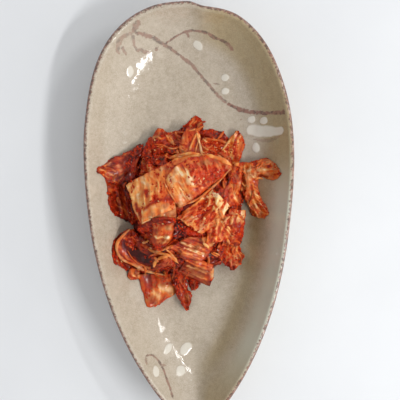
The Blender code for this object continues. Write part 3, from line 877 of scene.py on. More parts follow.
# How a cut's tone follows its face, with painted shade in its hollows and painted light on its rises, and how
# far its streaks wander in mm
faceTone = {"wander": 0.6, "patch": 0.10, "rib": 0.34, "hollow": 0.34, "darkest": -0.22, "palest": 0.16}
# How its paste does
facePaste = {"patch": 0.26, "rib": 0.35, "hollow": 0.4, "least": -0.15, "most": 0.2,
             "pale": 0.35, "paleFrom": 0.55}
# How a cut keeps clear of what is below, in mm, and as a share of its own thickness
clear = {"share": 0.85, "passes": 6, "thinnest": 0.25, "overGlaze": 0.05}
laidCuts = []


# (place, height) from -1 to 1 along an arc that turns by degrees
def arc(degrees, steps):
    angle = np.linspace(-0.5, 0.5, steps) * math.radians(degrees if degrees else 1)
    reach = math.sin(min(abs(angle[-1]), math.pi / 2)) * math.copysign(1, angle[-1])
    return np.sin(angle) / reach, (np.cos(angle) - 1) / reach


# Points at the given shares of the length of a smooth line
def pointsAlong(points, shares):
    line = smoothLine(points, cutGrid["edgeStep"])
    reach = np.concatenate([[0], np.cumsum(np.linalg.norm(np.diff(line, axis=0), axis=1))])
    return np.stack([np.interp(shares * reach[-1], reach, line[:, k]) for k in (0, 1)], axis=-1)


# Plan and shape of a cut before it settles, with its run along and across the fibres, in mm
def cutSurface(shape, rows, columns):
    along, fall = arc(shape["bend"], rows)
    across, arch = arc(shape["curl"], columns)
    share = (along + 1) / 2
    left, right = (pointsAlong(onDish(shape[side]), share) for side in ("left", "right"))
    side = (across[None, :, None] + 1) / 2
    run = (left[-1] + right[-1] - left[0] - right[0]) / 2
    length = np.linalg.norm(run)
    ahead = run / length
    crown = 1 - across[None] ** 2
    push = shape["roundEnd"] * np.clip(along, 0, 1)[:, None] ** 2 * crown
    push = push - shape["roundStart"] * np.clip(-along, 0, 1)[:, None] ** 2 * crown
    plan = left[:, None] * (1 - side) + right[:, None] * side + push[..., None] * ahead
    halfWidth = np.linalg.norm(left - right, axis=-1)[:, None] / 2
    z = fall[:, None] * length / 2 + arch[None] * halfWidth
    z = z + shape["pitch"] * along[:, None] / 2 - shape["roll"] * across[None] / 2
    runAlong = (along[:, None] + 1) / 2 * length + 0 * z
    runAcross = across[None] * halfWidth + 0 * z
    return np.concatenate([plan, z[..., None]], axis=-1), runAlong, runAcross, ahead


# Ribs and net of a leaf: (vein from 0 to 1, how far a point is from the net's lines)
def leafVeins(along, across, shape):
    seed = shape["seed"]
    drift = shape["midrib"] + 1.2 * cloud(along / 12, along * 0, seed + 3)
    off = np.abs(across - drift)
    midribWide = np.maximum(leafRibs["midribWidth"] - leafRibs["midribTaper"] * along, 0.4)
    midrib = np.exp(-(off / midribWide) ** 2)
    spacing = leafRibs["spacing"]
    comb = (along - leafRibs["slant"] * off + 0.8 * cloud(along / 5, across / 5, seed + 4)) / spacing
    tooth = np.abs(comb - np.round(comb)) * spacing
    sideRibs = np.exp(-(tooth / leafRibs["width"]) ** 2)
    meshLong, meshWide = leafRibs["mesh"]
    warp = 0.3 * cloud(along / 3, across / 3, seed + 6)
    edges = cellEdges(along / meshLong + warp, across / meshWide, seed + 5)
    net = np.exp(-(edges / leafRibs["meshLine"]) ** 2)
    first, second, third = leafRibs["strength"]
    return np.maximum(np.maximum(first * midrib, second * sideRibs), third * net), edges


# The cut is laid on what is below it, rests on the high places and droops into the low ones
def settle(shape):
    kind = shape["kind"]
    points = cutSurface(shape, *cutGrid["settling"])[0]
    below = heightIn(heightUnder, points)
    offset = np.percentile(below - points[..., 2], shape["rest"])
    space = points[..., 2] + offset - below
    move = -kind["droop"] * np.maximum(space, 0)
    for _ in range(kind["softSteps"]):
        move = soften(np.maximum(move, -space))
    return offset, move


def softenTimes(field, times):
    for _ in range(times):
        field = soften(field)
    return field


# How near points are to a stroke, 1 on it and 0 from its width outwards
def nearStroke(x, y, stroke):
    (x0, y0), (x1, y1) = onDish([stroke[0:2], stroke[2:4]])
    dx, dy = x1 - x0, y1 - y0
    t = np.clip(((x - x0) * dx + (y - y0) * dy) / max(dx * dx + dy * dy, 1e-6), 0, 1)
    away = np.hypot(x - x0 - t * dx, y - y0 - t * dy)
    return 1 - ease(away / (stroke[4] * 1.25))


# Folds, grooves and veins raised on the face of a cut, with its vein strength
def faceRelief(shape, along, across):
    kind, seed = shape["kind"], shape["seed"]
    wander = 0.8 * cloud(along / 20, across / 20, seed + 2)
    groove = cloud(across / kind["grooveWidth"] + wander, along / 60, seed + 7, 2)
    vein, edges = leafVeins(along, across, shape)
    vein = vein * kind["veins"]
    foldLong, foldWide = folds["fold"]
    fold = 1 - 2.2 * np.abs(cloud(along / foldLong + 3, across / foldWide, seed + 8, 2))
    puckerLong, puckerWide = folds["pucker"]
    pucker = 1 - 2 * np.abs(cloud(along / puckerLong, across / puckerWide + wander, seed + 12, 2))
    raised = kind["groove"] * groove + kind["crumple"] * (fold + folds["puckerShare"] * pucker)
    ribs = folds["meshRise"] * np.minimum(edges, 0.6) + folds["ribRise"] * vein
    return raised + kind["veins"] * ribs, vein, wander


# Sum of soft spots at points in plan
def spotSum(x, y, spots):
    total = 0 * x
    for sx, sy, rx, ry, strength in spots:
        (cx, cy), = onDish([(sx, sy)])
        total = total + strength * (1 - ease(np.hypot((x - cx) / rx, (y - cy) / ry) / 1.3))
    return total


# Colour marks of a cut: tone from its corners and strokes, with painted shade in its hollows and painted
# light on its rises, how much paste it carries, how stained it is
def faceMarks(shape, points, along, across, vein, wander):
    kind, seed, tone = shape["kind"], shape["seed"], shape["tone"]
    rows, columns = along.shape
    a, b = np.linspace(-1, 1, rows)[:, None], np.linspace(-1, 1, columns)[None]
    s, t = (a + 1) / 2, (b + 1) / 2
    here = tone[0] * (1 - s) * (1 - t) + tone[1] * (1 - s) * t + tone[2] * s * t + tone[3] * s * (1 - t)
    x = points[..., 0] + faceTone["wander"] * cloud(along / 3, across / 2.4, seed + 13, 2)
    y = points[..., 1] + faceTone["wander"] * cloud(along / 3, across / 2.4, seed + 14, 2)
    for stroke in shape["streaks"]:
        near = nearStroke(x, y, stroke)
        here = here * (1 - near) + stroke[5] * near
    streak = cloud(across / 0.9 + wander, along / 18, seed + 9, 2)
    patch = cloud(along / 6, across / 4.5, seed + 10, 2)
    deep = points[..., 2] - softenTimes(points[..., 2], 5)
    border = np.maximum(np.abs(a), np.abs(b)) ** 8
    # painted shade: darker in the hollows of the face; painted light: paler on its rises
    hollow = np.clip(faceTone["hollow"] * deep, faceTone["darkest"], faceTone["palest"])
    here = here + shape["grain"] * streak + faceTone["patch"] * patch + faceTone["rib"] * vein + hollow
    here = here - shape["redEdge"] * border
    paste = kind["paste"] + shape["paste"] + facePaste["patch"] * cloud(along / 6, across / 5, seed + 11, 2)
    paste = paste + spotSum(x, y, pasteSpots)
    stain = shape["stain"] + spotSum(x, y, stainSpots)
    hollow = np.clip(facePaste["hollow"] * deep, facePaste["least"], facePaste["most"])
    pale = facePaste["pale"] * np.clip(here - facePaste["paleFrom"], 0, 1)
    return here, paste - facePaste["rib"] * vein - hollow - pale, stain


# A closed piece between an upper and a lower grid of points, with the rim of both joined
def layPiece(name, points, under, tone, paste, stain, sharpDegrees=60):
    rows, columns = points.shape[:2]
    count = rows * columns
    flat = np.concatenate([points.reshape(-1, 3), under.reshape(-1, 3)]) * mm
    middle = points[rows // 2 + 1, columns // 2] - points[rows // 2, columns // 2]
    flip = np.cross(middle, points[rows // 2, columns // 2 + 1] - points[rows // 2, columns // 2])[2] < 0
    faces = [gridFaces(rows, columns, 0, flip), gridFaces(rows, columns, count, not flip)]
    border = np.concatenate([np.arange(columns), columns * np.arange(1, rows) + columns - 1,
                             count - 2 - np.arange(columns - 1), columns * np.arange(rows - 2, 0, -1)])
    after = np.roll(border, -1)
    band = np.stack([border, after, after + count, border + count], axis=-1)
    faces.append(band[:, ::-1] if flip else band)
    marks = {
        "tone": np.concatenate([tone.ravel(), tone.ravel() - 0.06]),  # a little darker underneath
        "paste": np.tile(paste.ravel(), 2),
        "stain": np.tile(np.broadcast_to(stain, tone.shape).ravel(), 2),
    }
    made = meshObject(name, flat, np.concatenate(faces), cabbage, marks, sharpDegrees)
    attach(made, "root")
    coverRelief(points * mm)
    return made


# A cut between its left and right edge, laid on what is already there
def layCut(name, kind, left, right, tone, bend=15, curl=50, pitch=0, roll=0, roundEnd=0, roundStart=0,
           midrib=0, rest=70, paste=0, stain=0.7, lift=0, redEdge=0.10, grain=0.065, streaks=(), **changes):
    kindValues = {**cutKinds[kind], **changes}
    seed = 100 + 17 * len(laidCuts)
    shape = {"left": left, "right": right, "bend": bend, "curl": curl, "pitch": pitch, "roll": roll,
             "roundEnd": roundEnd, "roundStart": roundStart, "midrib": midrib, "rest": rest, "seed": seed,
             "kind": kindValues, "tone": tone, "paste": paste, "stain": stain, "redEdge": redEdge,
             "grain": grain, "streaks": streaks}
    offset, move = settle(shape)
    leftLine, rightLine = onDish(left), onDish(right)
    length = max(np.linalg.norm(np.diff(line, axis=0), axis=1).sum() for line in (leftLine, rightLine))
    pairs = ((0, 0), (-1, -1), (len(left) // 2, len(right) // 2))
    width = max(np.linalg.norm(leftLine[i] - rightLine[j]) for i, j in pairs)
    step, fewest, most = cutGrid["step"], cutGrid["fewest"], cutGrid["most"]
    rows = int(np.clip(length / step, fewest, most)) + 2
    columns = int(np.clip(width / step * (1 + abs(curl) / 400), fewest, most)) + 2
    points, along, across, ahead = cutSurface(shape, rows, columns)
    a, b = np.linspace(-1, 1, rows)[:, None], np.linspace(-1, 1, columns)[None]
    aside = np.array([-ahead[1], ahead[0]])
    ragged = kindValues["ragged"]
    shiftAside = ragged * cloud(along / 4.5, b * 1.5 + 0 * along, seed, 3) * np.abs(b) ** 3
    shiftAhead = ragged * cloud(across / 4.5, a * 1.5 + 0 * across, seed + 1, 3) * np.abs(a) ** 3
    points[..., :2] += shiftAside[..., None] * aside + shiftAhead[..., None] * ahead
    raised, vein, wander = faceRelief(shape, along, across)
    border = np.maximum(np.abs(a), np.abs(b)) ** 3
    raised = raised + kindValues["frill"] * border * cloud(along / 4, across / 4, seed + 15, 2)
    sideThick = kindValues["sideThick"]
    thickness = sideThick + (kindValues["thick"] - sideThick) * np.sqrt(1 - 0.98 * b ** 2)
    halfWidth = np.abs(across[:, -1:])
    thickness = thickness * np.clip(0.3 + halfWidth / 3, 0, 1)
    rounded = kindValues["round"] * (np.abs(a) ** 10 + np.abs(b) ** 8)
    points[..., 2] += offset + stretch(move, rows, columns) + raised + lift
    # it is pushed up, softly, wherever it would sink into what is below
    below = heightIn(heightUnder, points)
    need = np.maximum(0, below + clear["share"] * thickness - points[..., 2])
    push = need.copy()
    for _ in range(clear["passes"]):
        push = np.maximum(soften(push), need)
    points[..., 2] += push - rounded
    points[..., 2] = np.minimum(points[..., 2], heapRoof)
    normal = np.cross(np.gradient(points, axis=0), np.gradient(points, axis=1))
    size = np.maximum(np.linalg.norm(normal, axis=-1, keepdims=True), 1e-9)
    normal *= np.sign(normal[..., 2:3].mean()) / size
    under = points - normal * thickness[..., None]
    under[..., 2] = np.maximum(under[..., 2], heightIn(glazeHeight, under) + clear["overGlaze"])
    points[..., 2] = np.maximum(points[..., 2], under[..., 2] + clear["thinnest"])
    here, pasteHere, stainHere = faceMarks(shape, points, along, across, vein, wander)
    made = layPiece(name, points, under, here, pasteHere, stainHere)
    laidCuts.append({"object": made, "points": points, "normal": normal, "paste": pasteHere})
    return made


# Loose fibres and raised edges, in mm
fibre = {
    "step": 0.5,
    "softening": 10,            # rounds that carry the line over gaps
    "columns": 7,
    "uneven": 0.3,
    "above": 0.1,               # what it lies on
    "belly": 0.6,               # how far it reaches below its sides, as a share of its height
    "thinnest": 0.1,
}
strands = []


# A loose fibre or a raised edge that follows a line over what is already there
def layStrand(points, width, tone, rise=0.6, paste=0.1, stain=0.7):
    line = smoothLine(onDish(points), fibre["step"])
    seed = 3000 + len(strands)
    share = np.linspace(0, 1, len(line))
    ahead = np.gradient(line, axis=0)
    ahead /= np.linalg.norm(ahead, axis=1, keepdims=True)
    aside = np.stack([-ahead[:, 1], ahead[:, 0]], axis=1)
    base = heightIn(heightUnder, line)
    high = base.copy()
    for _ in range(fibre["softening"]):
        padded = np.concatenate([high[:1], high, high[-1:]])
        high = np.maximum((padded[:-2] + 2 * high + padded[2:]) / 4, base)
    half = width / 2 * (1 + fibre["uneven"] * cloud(share * len(line) / 6, share * 0, seed, 2))
    half = half * np.minimum(1, 0.3 + 5 * np.minimum(share, 1 - share))
    across = np.linspace(-1, 1, fibre["columns"])
    plan = line[:, None] + aside[:, None] * (half[:, None] * across)[..., None]
    dome = np.sqrt(1 - 0.96 * across ** 2)
    thick = (half * rise * 2)[:, None]
    top = np.minimum((high + fibre["above"])[:, None] + thick * dome + 0 * plan[..., 0], heapRoof)
    upper = np.concatenate([plan, top[..., None]], axis=-1)
    lower = np.concatenate([plan, (top - thick * (dome + fibre["belly"]))[..., None]], axis=-1)
    lowest = heightIn(glazeHeight, lower) + clear["overGlaze"]
    lower[..., 2] = np.minimum(np.maximum(lower[..., 2], lowest), upper[..., 2] - fibre["thinnest"])
    shade = tone + 0.10 * cloud(share * len(line) / 5, share * 0, seed + 1, 2)[:, None] + 0 * top
    pasteHere = np.full(top.shape, paste)
    strands.append(layPiece("strand", upper, lower, shade, pasteHere, stain, 80))


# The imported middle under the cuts, in mm
core = {
    "centre": (-3, 4),
    "radii": (38, 50),
    "height": 24,
    "shoulder": 0.65,           # below 1 makes its sides steeper
    "bumps": (1.2, 7),          # how high and how wide
    "gap": 0.2,                 # above the glaze, at the least
    # painted shade: the middle is dark where it shows in the gaps between cuts
    "tone": 0.10,
    "paste": 0.7,
    "stain": 0.8,
    "steps": 90,
}


def makeCore():
    steps = core["steps"]
    line = np.linspace(-1, 1, steps)
    across, along = np.meshgrid(line, line)
    square = np.maximum(np.abs(across), np.abs(along))
    size = np.maximum(np.hypot(across, along), 1e-9)
    u, v = across / size * square, along / size * square
    x = (core["centre"][0] + core["radii"][0] * u) * mm
    y = (core["centre"][1] + core["radii"][1] * v) * mm
    inside = np.clip(1 - u * u - v * v, 0, 1)
    bumpHigh, bumpWide = core["bumps"]
    bumps = cloud(x / (bumpWide * mm), y / (bumpWide * mm), 900, 3)
    bumps = bumpHigh * mm * bumps * np.clip(4 * inside, 0, 1)
    z = dish["floorTop"] + core["height"] * mm * inside ** core["shoulder"] + bumps
    points = np.stack([x, y, np.maximum(z, glazeHeight(x, y) + core["gap"] * mm)], axis=-1)
    bottom = np.stack([x, y, glazeHeight(x, y) + clear["overGlaze"] * mm], axis=-1)
    tone = core["tone"] + 0.08 * cloud(x / 0.003, y / 0.003, 901, 2)
    paste = np.full(tone.shape, core["paste"])
    made = layPiece("packedMiddle", points / mm, bottom / mm, tone, paste, core["stain"], 80)
    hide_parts("kimchi_heap")


makeCore()


# Loose cuts that fill the gaps between the ones that show, in mm and degrees
filler = {
    "count": 30,
    "seed": 21,
    "centre": (-1, 8),
    "radii": (36, 46),
    "outwards": (0.05, 0.75),   # square of the share of the radii
    "turn": 2.4,                # radians from each to the next
    "stray": 0.4,
    "long": (18, 30),
    "wide": (12, 20),
    "outline": ((-1, 0.8), (-0.3, 1), (0.4, 1), (1, 0.5)),  # place along and width, as shares
    "tones": (0.12, 0.32),
    "bend": (10, 40),
    "curl": (30, 110),
    "tilt": (-3, 3),
    "rest": 60,
}


def layFiller():
    draw = np.random.default_rng(filler["seed"])
    for k in range(filler["count"]):
        turn = filler["turn"] * k + draw.uniform(-filler["stray"], filler["stray"])
        far = math.sqrt(draw.uniform(*filler["outwards"]))
        x = filler["centre"][0] + filler["radii"][0] * far * math.cos(turn)
        y = filler["centre"][1] + filler["radii"][1] * far * math.sin(turn)
        heading = draw.uniform(0, 2 * math.pi)
        long, wide = draw.uniform(*filler["long"]) / 2, draw.uniform(*filler["wide"]) / 2
        c, s = math.cos(heading), math.sin(heading)
        left, right = ([(x + u * long * c - v * w * wide * s, y + u * long * s + v * w * wide * c)
                        for u, w in filler["outline"]] for v in (1, -1))
        tone = draw.uniform(*filler["tones"])
        layCut(f"filler{k:02d}", "leaf" if k % 3 else "half", left, right, [tone] * 4,
               bend=draw.uniform(*filler["bend"]), curl=draw.uniform(*filler["curl"]),
               pitch=draw.uniform(*filler["tilt"]), roll=draw.uniform(*filler["tilt"]), rest=filler["rest"])


layFiller()


# Left and right edge in mm, from near to far, looking along the fibres.
# tone gives the near left, near right, far right and far left corner's colour, 0 dark leaf to 1 white rib.
# Each streak is a line x, y to x, y with its half width and its tone.
def layRing():
    layCut("leftApron", "leaf", ((-36, 28), (-34, 15), (-33, 5), (-37, -3)),
           ((-56, 31), (-54.5, 24), (-54, 16), (-52.5, 10), (-50, 6), (-43, 1)), (0.22, 0.24, 0.24, 0.22),
           10, -40, rest=60, paste=-0.1, stain=0.5, crumple=1.4,
           streaks=((-49, 12, -43, 8, 0.8, 0.55), (-43, 8, -40, 2, 0.7, 0.5), (-46, 16, -42, 10, 0.6, 0.42),
                    (-37, 14, -35, 1, 0.9, 0.5), (-39, 13, -38, 2, 0.6, 0.45),
                    (-52, 22, -49, 10, 0.7, 0.34), (-41, 26, -38, 6, 2.2, 0.06),
                    (-47, 24, -45, 14, 2.0, 0.2)))
    # Its dark streak along x = -40 is painted shade beside the cream leaf.
    layCut("leftFlag", "leaf", ((-38, 22), (-46, 25), (-53, 27), (-57, 31), (-60.5, 34)),
           ((-31, 53), (-36, 50.5), (-41, 47.5), (-47, 45), (-51, 43.5), (-57, 38.5), (-61, 35.5)),
           (0.09, 0.11, 0.33, 0.31), 15, 40, crumple=0.9, paste=-0.15, stain=0.45,
           streaks=((-58, 37.5, -52, 40, 1.0, 0.62), (-59, 35.5, -49, 31, 0.9, 0.64),
                    (-55, 37.5, -49, 34, 0.7, 0.60), (-57, 32.5, -52, 29, 0.8, 0.56),
                    (-48, 38, -46, 34, 3.0, 0.60), (-53, 30, -48, 26.5, 0.8, 0.62),
                    (-48, 26.5, -45, 31, 0.8, 0.6), (-50, 42, -37, 48, 1.6, 0.48),
                    (-41, 45, -39, 27, 2.6, 0.08)))
    # Its dark tone paints the shade on the heap's left side, and its darkest streak, near (-31, 47), painted
    # shade in a hollow.
    layCut("leftDark", "leaf", ((-27, 47), (-29, 40), (-33, 33), (-36, 24)),
           ((-33, 54), (-37, 50), (-40, 44), (-42, 36), (-43, 26)), (0.06, 0.12, 0.16, 0.12), 30, 60,
           streaks=((-31, 49, -32, 45, 2.6, 0.0), (-36, 47, -38, 34, 1.0, 0.3),
                    (-37, 40, -34, 30, 0.8, 0.2)))
    layStrand(((-28, 51), (-27.3, 47), (-28, 42)), 1.0, 0.5, 0.5)
    layCut("orangeFlap", "leaf", ((-33, 31), (-32, 37), (-31, 43)), ((-21, 33), (-22, 38), (-29, 43.5)),
           (0.42, 0.5, 0.5, 0.42), 20, 50, crumple=0.9)
    layCut("loopUnder", "leaf", ((-36, -5), (-31, -18), (-29, -30), (-30, -37)),
           ((-45, -7), (-50, -13), (-50.5, -20), (-49.5, -27), (-44, -31), (-37, -37)),
           (0.14, 0.18, 0.16, 0.2), 20, 60,
           streaks=((-49.5, -13, -50, -25, 1.0, 0.34), (-46, -28, -38, -34, 1.0, 0.3)))
    # Its three streaks of tone below 0 are painted shade in the loop's hollow and the gap beside it.
    layCut("loopLeaf", "half", ((-37, -5), (-30, -11), (-24, -16), (-14, -22), (-9, -28)),
           ((-41, -5), (-47, -12), (-48.5, -18), (-45, -25), (-37, -29), (-27, -34), (-15, -36)),
           (0.15, 0.23, 0.13, 0.11), -70, -60, midrib=-3, paste=-0.2, crumple=0.9, lift=1.0, redEdge=-0.12,
           stain=0.58,
           streaks=((-44, -10, -37, -13, 1.4, 0.50), (-40, -10, -34, -12, 0.8, 0.62),
                    (-42, -14, -36, -18, 0.9, 0.58), (-46, -17, -41, -25, 1.8, 0.52),
                    (-37, -28, -20, -33, 1.2, 0.50), (-37, -20, -29, -25, 3.4, -0.3),
                    (-35, -18, -32, -25, 2.4, -0.3), (-30, -9, -21, -7, 2.4, -0.2),
                    (-25, -17, -18, -21, 0.9, 0.70), (-28, -17, -24, -22, 1.2, 0.16),
                    (-23, -26, -18, -31, 2.6, 0.10), (-31, -15, -28, -17, 1.2, 0.56)))
    layStrand(((-39, -4.5), (-44, -9), (-47.5, -14), (-47.5, -20), (-43.5, -25.5), (-36, -29), (-28, -33),
               (-16, -35.5)), 2.0, 0.70, 0.5, stain=0.4)
    layStrand(((-41, -19), (-37, -25), (-30, -29.5), (-20, -32)), 1.0, 0.6)
    # Its pale streak near (-36.5, -36.5) is a painted highlight.
    layCut("knob", "rib", ((-33, -32), (-33, -35), (-34, -39)), ((-39, -31), (-41, -36), (-39.5, -39.5)),
           (0.52, 0.45, 0.4, 0.45), 60, 60, stain=0.5,
           streaks=((-37, -36, -36, -37, 1.2, 0.75),))
    layCut("squareStem", "rib", ((-9.5, -35), (-9, -43), (-9.5, -50), (-16, -54)),
           ((-35, -36), (-32.5, -44), (-30.5, -50), (-28.5, -58)), (0.44, 0.46, 0.48, 0.53), 14, 26,
           roundEnd=2, redEdge=0.10, stain=0.45, groove=0.25,
           streaks=((-19, -46, -12, -47, 3.2, 0.84), (-24, -48, -20, -52, 2.8, 0.80),
                    (-14, -51, -11, -50, 1.8, 0.66), (-27, -44, -26, -46, 1.2, 0.40),
                    (-22, -44, -21, -46, 0.7, 0.34), (-25, -56, -23, -56, 1.0, 0.36),
                    (-32, -41, -30, -52, 1.2, 0.50), (-20, -41, -18, -41, 1.6, 0.50),
                    (-19, -55, -17, -56, 1.6, 0.46), (-32, -38, -10, -38, 1.4, 0.34),
                    (-14, -42, -10, -44, 1.2, 0.3)))
    layCut("rightUnder", "leaf", ((5, -15), (14, -14), (25, -16)), ((5, -31), (13, -29.5), (22, -28)),
           (0.18, 0.16, 0.10, 0.14), 15, 60,
           streaks=((15, -22, 18, -24, 3.0, -0.1), (22, -24, 22, -27, 2.0, 0.3)))
    layCut("smallTongue", "leaf", ((11, -38), (9.5, -42), (6, -46)), ((-1, -36), (0.5, -43), (2.5, -47.5)),
           (0.18, 0.2, 0.26, 0.26), 20, 70, crumple=0.7,
           streaks=((3, -40, 4, -45, 0.8, 0.42),))
    layCut("pointedStrip", "leaf", ((1, -24), (0, -34), (-0.5, -44), (1.5, -50), (2, -55), (0.2, -60.5)),
           ((-11, -24), (-10, -38), (-9.5, -46), (-7.5, -52), (-4, -57), (-1.5, -61)),
           (0.16, 0.18, 0.28, 0.28), 20, 90, crumple=1.1, stain=0.6,
           streaks=((-3, -42, -1, -55, 1.0, 0.46), (-7, -30, -6, -44, 0.8, 0.34),
                    (-5, -46, -3, -56, 0.9, 0.36), (-8, -28, -9, -44, 1.2, 0.04),
                    (-1, -34, -2, -40, 1.4, 0.10)))
    layCut("rightSkirt", "leaf",
           ((37, -6), (35.5, -14), (35.5, -18), (38, -22.5), (37.5, -26), (34.5, -30), (32.5, -32)),
           ((20, -8), (20, -18), (22, -25), (26, -29), (29, -31.5)), (0.36, 0.34, 0.38, 0.42), 25, 50,
           roundEnd=1.5, crumple=1.6, stain=0.6, paste=-0.1,
           streaks=((25, -20, 33, -23, 1.6, 0.60), (33, -24, 36, -22, 2.2, 0.56),
                    (34, -15, 33, -22, 1.0, 0.54), (31, -29, 30, -31, 2, 0.2),
                    (27, -26, 33, -30, 0.9, 0.52), (24, -14, 22, -22, 1.8, 0.22),
                    (30, -10, 29, -20, 0.9, 0.56)))
    layCut("topTip", "leaf", ((-11, 58), (-5, 64), (-1, 68), (2, 71.5)),
           ((12, 60), (10.5, 65), (9, 69), (6.5, 72.5)), (0.18, 0.24, 0.42, 0.36), 30, 50, roundEnd=1,
           streaks=((6, 62, 10.5, 66, 0.9, 0.62), (1, 66, 4, 71, 1.6, 0.46), (-5, 64, -1, 66, 2.2, 0.14)))
    layCut("topDark", "leaf", ((7, 62), (13, 63.5), (18, 63.7), (23, 62), (27.5, 57.5)),
           ((8, 50), (15, 51), (22, 51), (28, 52)), (0.26, 0.18, 0.18, 0.2), 20, 80, crumple=1.4,
           streaks=((9, 62, 20, 62.5, 1.0, 0.4), (14, 58, 22, 58, 1.4, 0.08)))
    # Its streak near (-23.5, 55.5) is a painted highlight, and its darkest streak, near (-21, 43), painted
    # shade in a hollow.
    layCut("redLeft", "leaf", ((-27, 58), (-31, 51), (-31, 44), (-29, 39)),
           ((-14, 59), (-12, 50), (-12, 44), (-13, 38)), (0.39, 0.37, 0.23, 0.23), 20, 60, paste=0.05,
           streaks=((-25, 57, -22, 54, 1.2, 0.5), (-24, 50, -20, 44, 1.4, 0.24),
                    (-27, 44, -16, 42, 1.6, 0.02)))
    layCut("curlTip", "half", ((-25, 54), (-24, 60), (-21.5, 63.5)), ((-15, 56), (-14.5, 61), (-17.5, 64)),
           (0.34, 0.36, 0.50, 0.48), 40, 120, roundEnd=1)
    # Its short pale streak near (-8, 46.5) is a painted highlight.
    layCut("redFold", "leaf", ((-23, 57), (-14, 60.5), (-7, 63), (0, 62)), ((-24, 46), (-14, 47), (-2, 46)),
           (0.28, 0.2, 0.26, 0.36), 10, 70, crumple=1.6,
           streaks=((-20, 56, -16, 57.5, 0.9, 0.66), (-15, 59, -11, 53, 0.9, 0.64),
                    (-9, 61, -4, 55, 0.9, 0.60), (-21, 52, -13, 49.5, 0.9, 0.60),
                    (-19, 47, -6, 48, 2.0, 0.06), (-10, 46.5, -6, 46.5, 1.0, 0.6)))
    layStrand(((-23, 53), (-17, 52), (-11, 49.5), (-3, 51)), 1.6, 0.58)
    layStrand(((-15.5, 60), (-13.5, 56.5), (-11, 53.5), (-8, 52.5)), 1.5, 0.60)
    layStrand(((-9, 62), (-7.5, 58), (-5.5, 55.5), (-2.5, 55)), 1.3, 0.56)
    layStrand(((-21, 58), (-18.5, 56.5), (-16, 57.5)), 1.3, 0.62)
    layCut("rightFar", "leaf", ((36, 41), (43, 41.5), (49, 43), (54, 43), (58, 40), (60, 36)),
           ((38, 27), (45, 31), (50, 30), (55, 28.5), (60, 29), (62, 32)), (0.54, 0.54, 0.60, 0.58), 10, 40,
           paste=-0.1, stain=0.5, crumple=1.4,
           streaks=((48, 37, 53, 35, 2.2, 0.78), (55, 34, 57, 35, 1.6, 0.76), (54, 38.5, 55, 38, 1.4, 0.16),
                    (46, 41, 54, 41.5, 1.2, 0.50), (44, 37, 47, 33, 1.2, 0.56), (46, 32, 54, 31, 1.0, 0.30),
                    (58, 32, 61, 33, 1.0, 0.26)))
    layCut("bentRoll", "leaf",
           ((47, 41), (47.5, 30), (48.5, 22), (50.5, 15), (53.5, 10), (54, 6), (51.5, 3)),
           ((35, 41), (34, 30), (36, 20), (40, 12), (44, 5.5), (48, 2.2)), (0.53, 0.53, 0.55, 0.53), 20,
           120, veins=1.0, crumple=1.3, paste=-0.2, stain=0.6,
           streaks=((39, 39, 38, 24, 0.9, 0.66), (42, 39, 43, 28, 0.8, 0.70), (45, 38, 45, 30, 0.8, 0.64),
                    (36, 30, 39, 16, 1.0, 0.22), (47, 8, 49, 5, 1.6, 0.3), (46, 22, 50, 12, 1.0, 0.66),
                    (43, 20, 46, 12, 1.0, 0.60)))


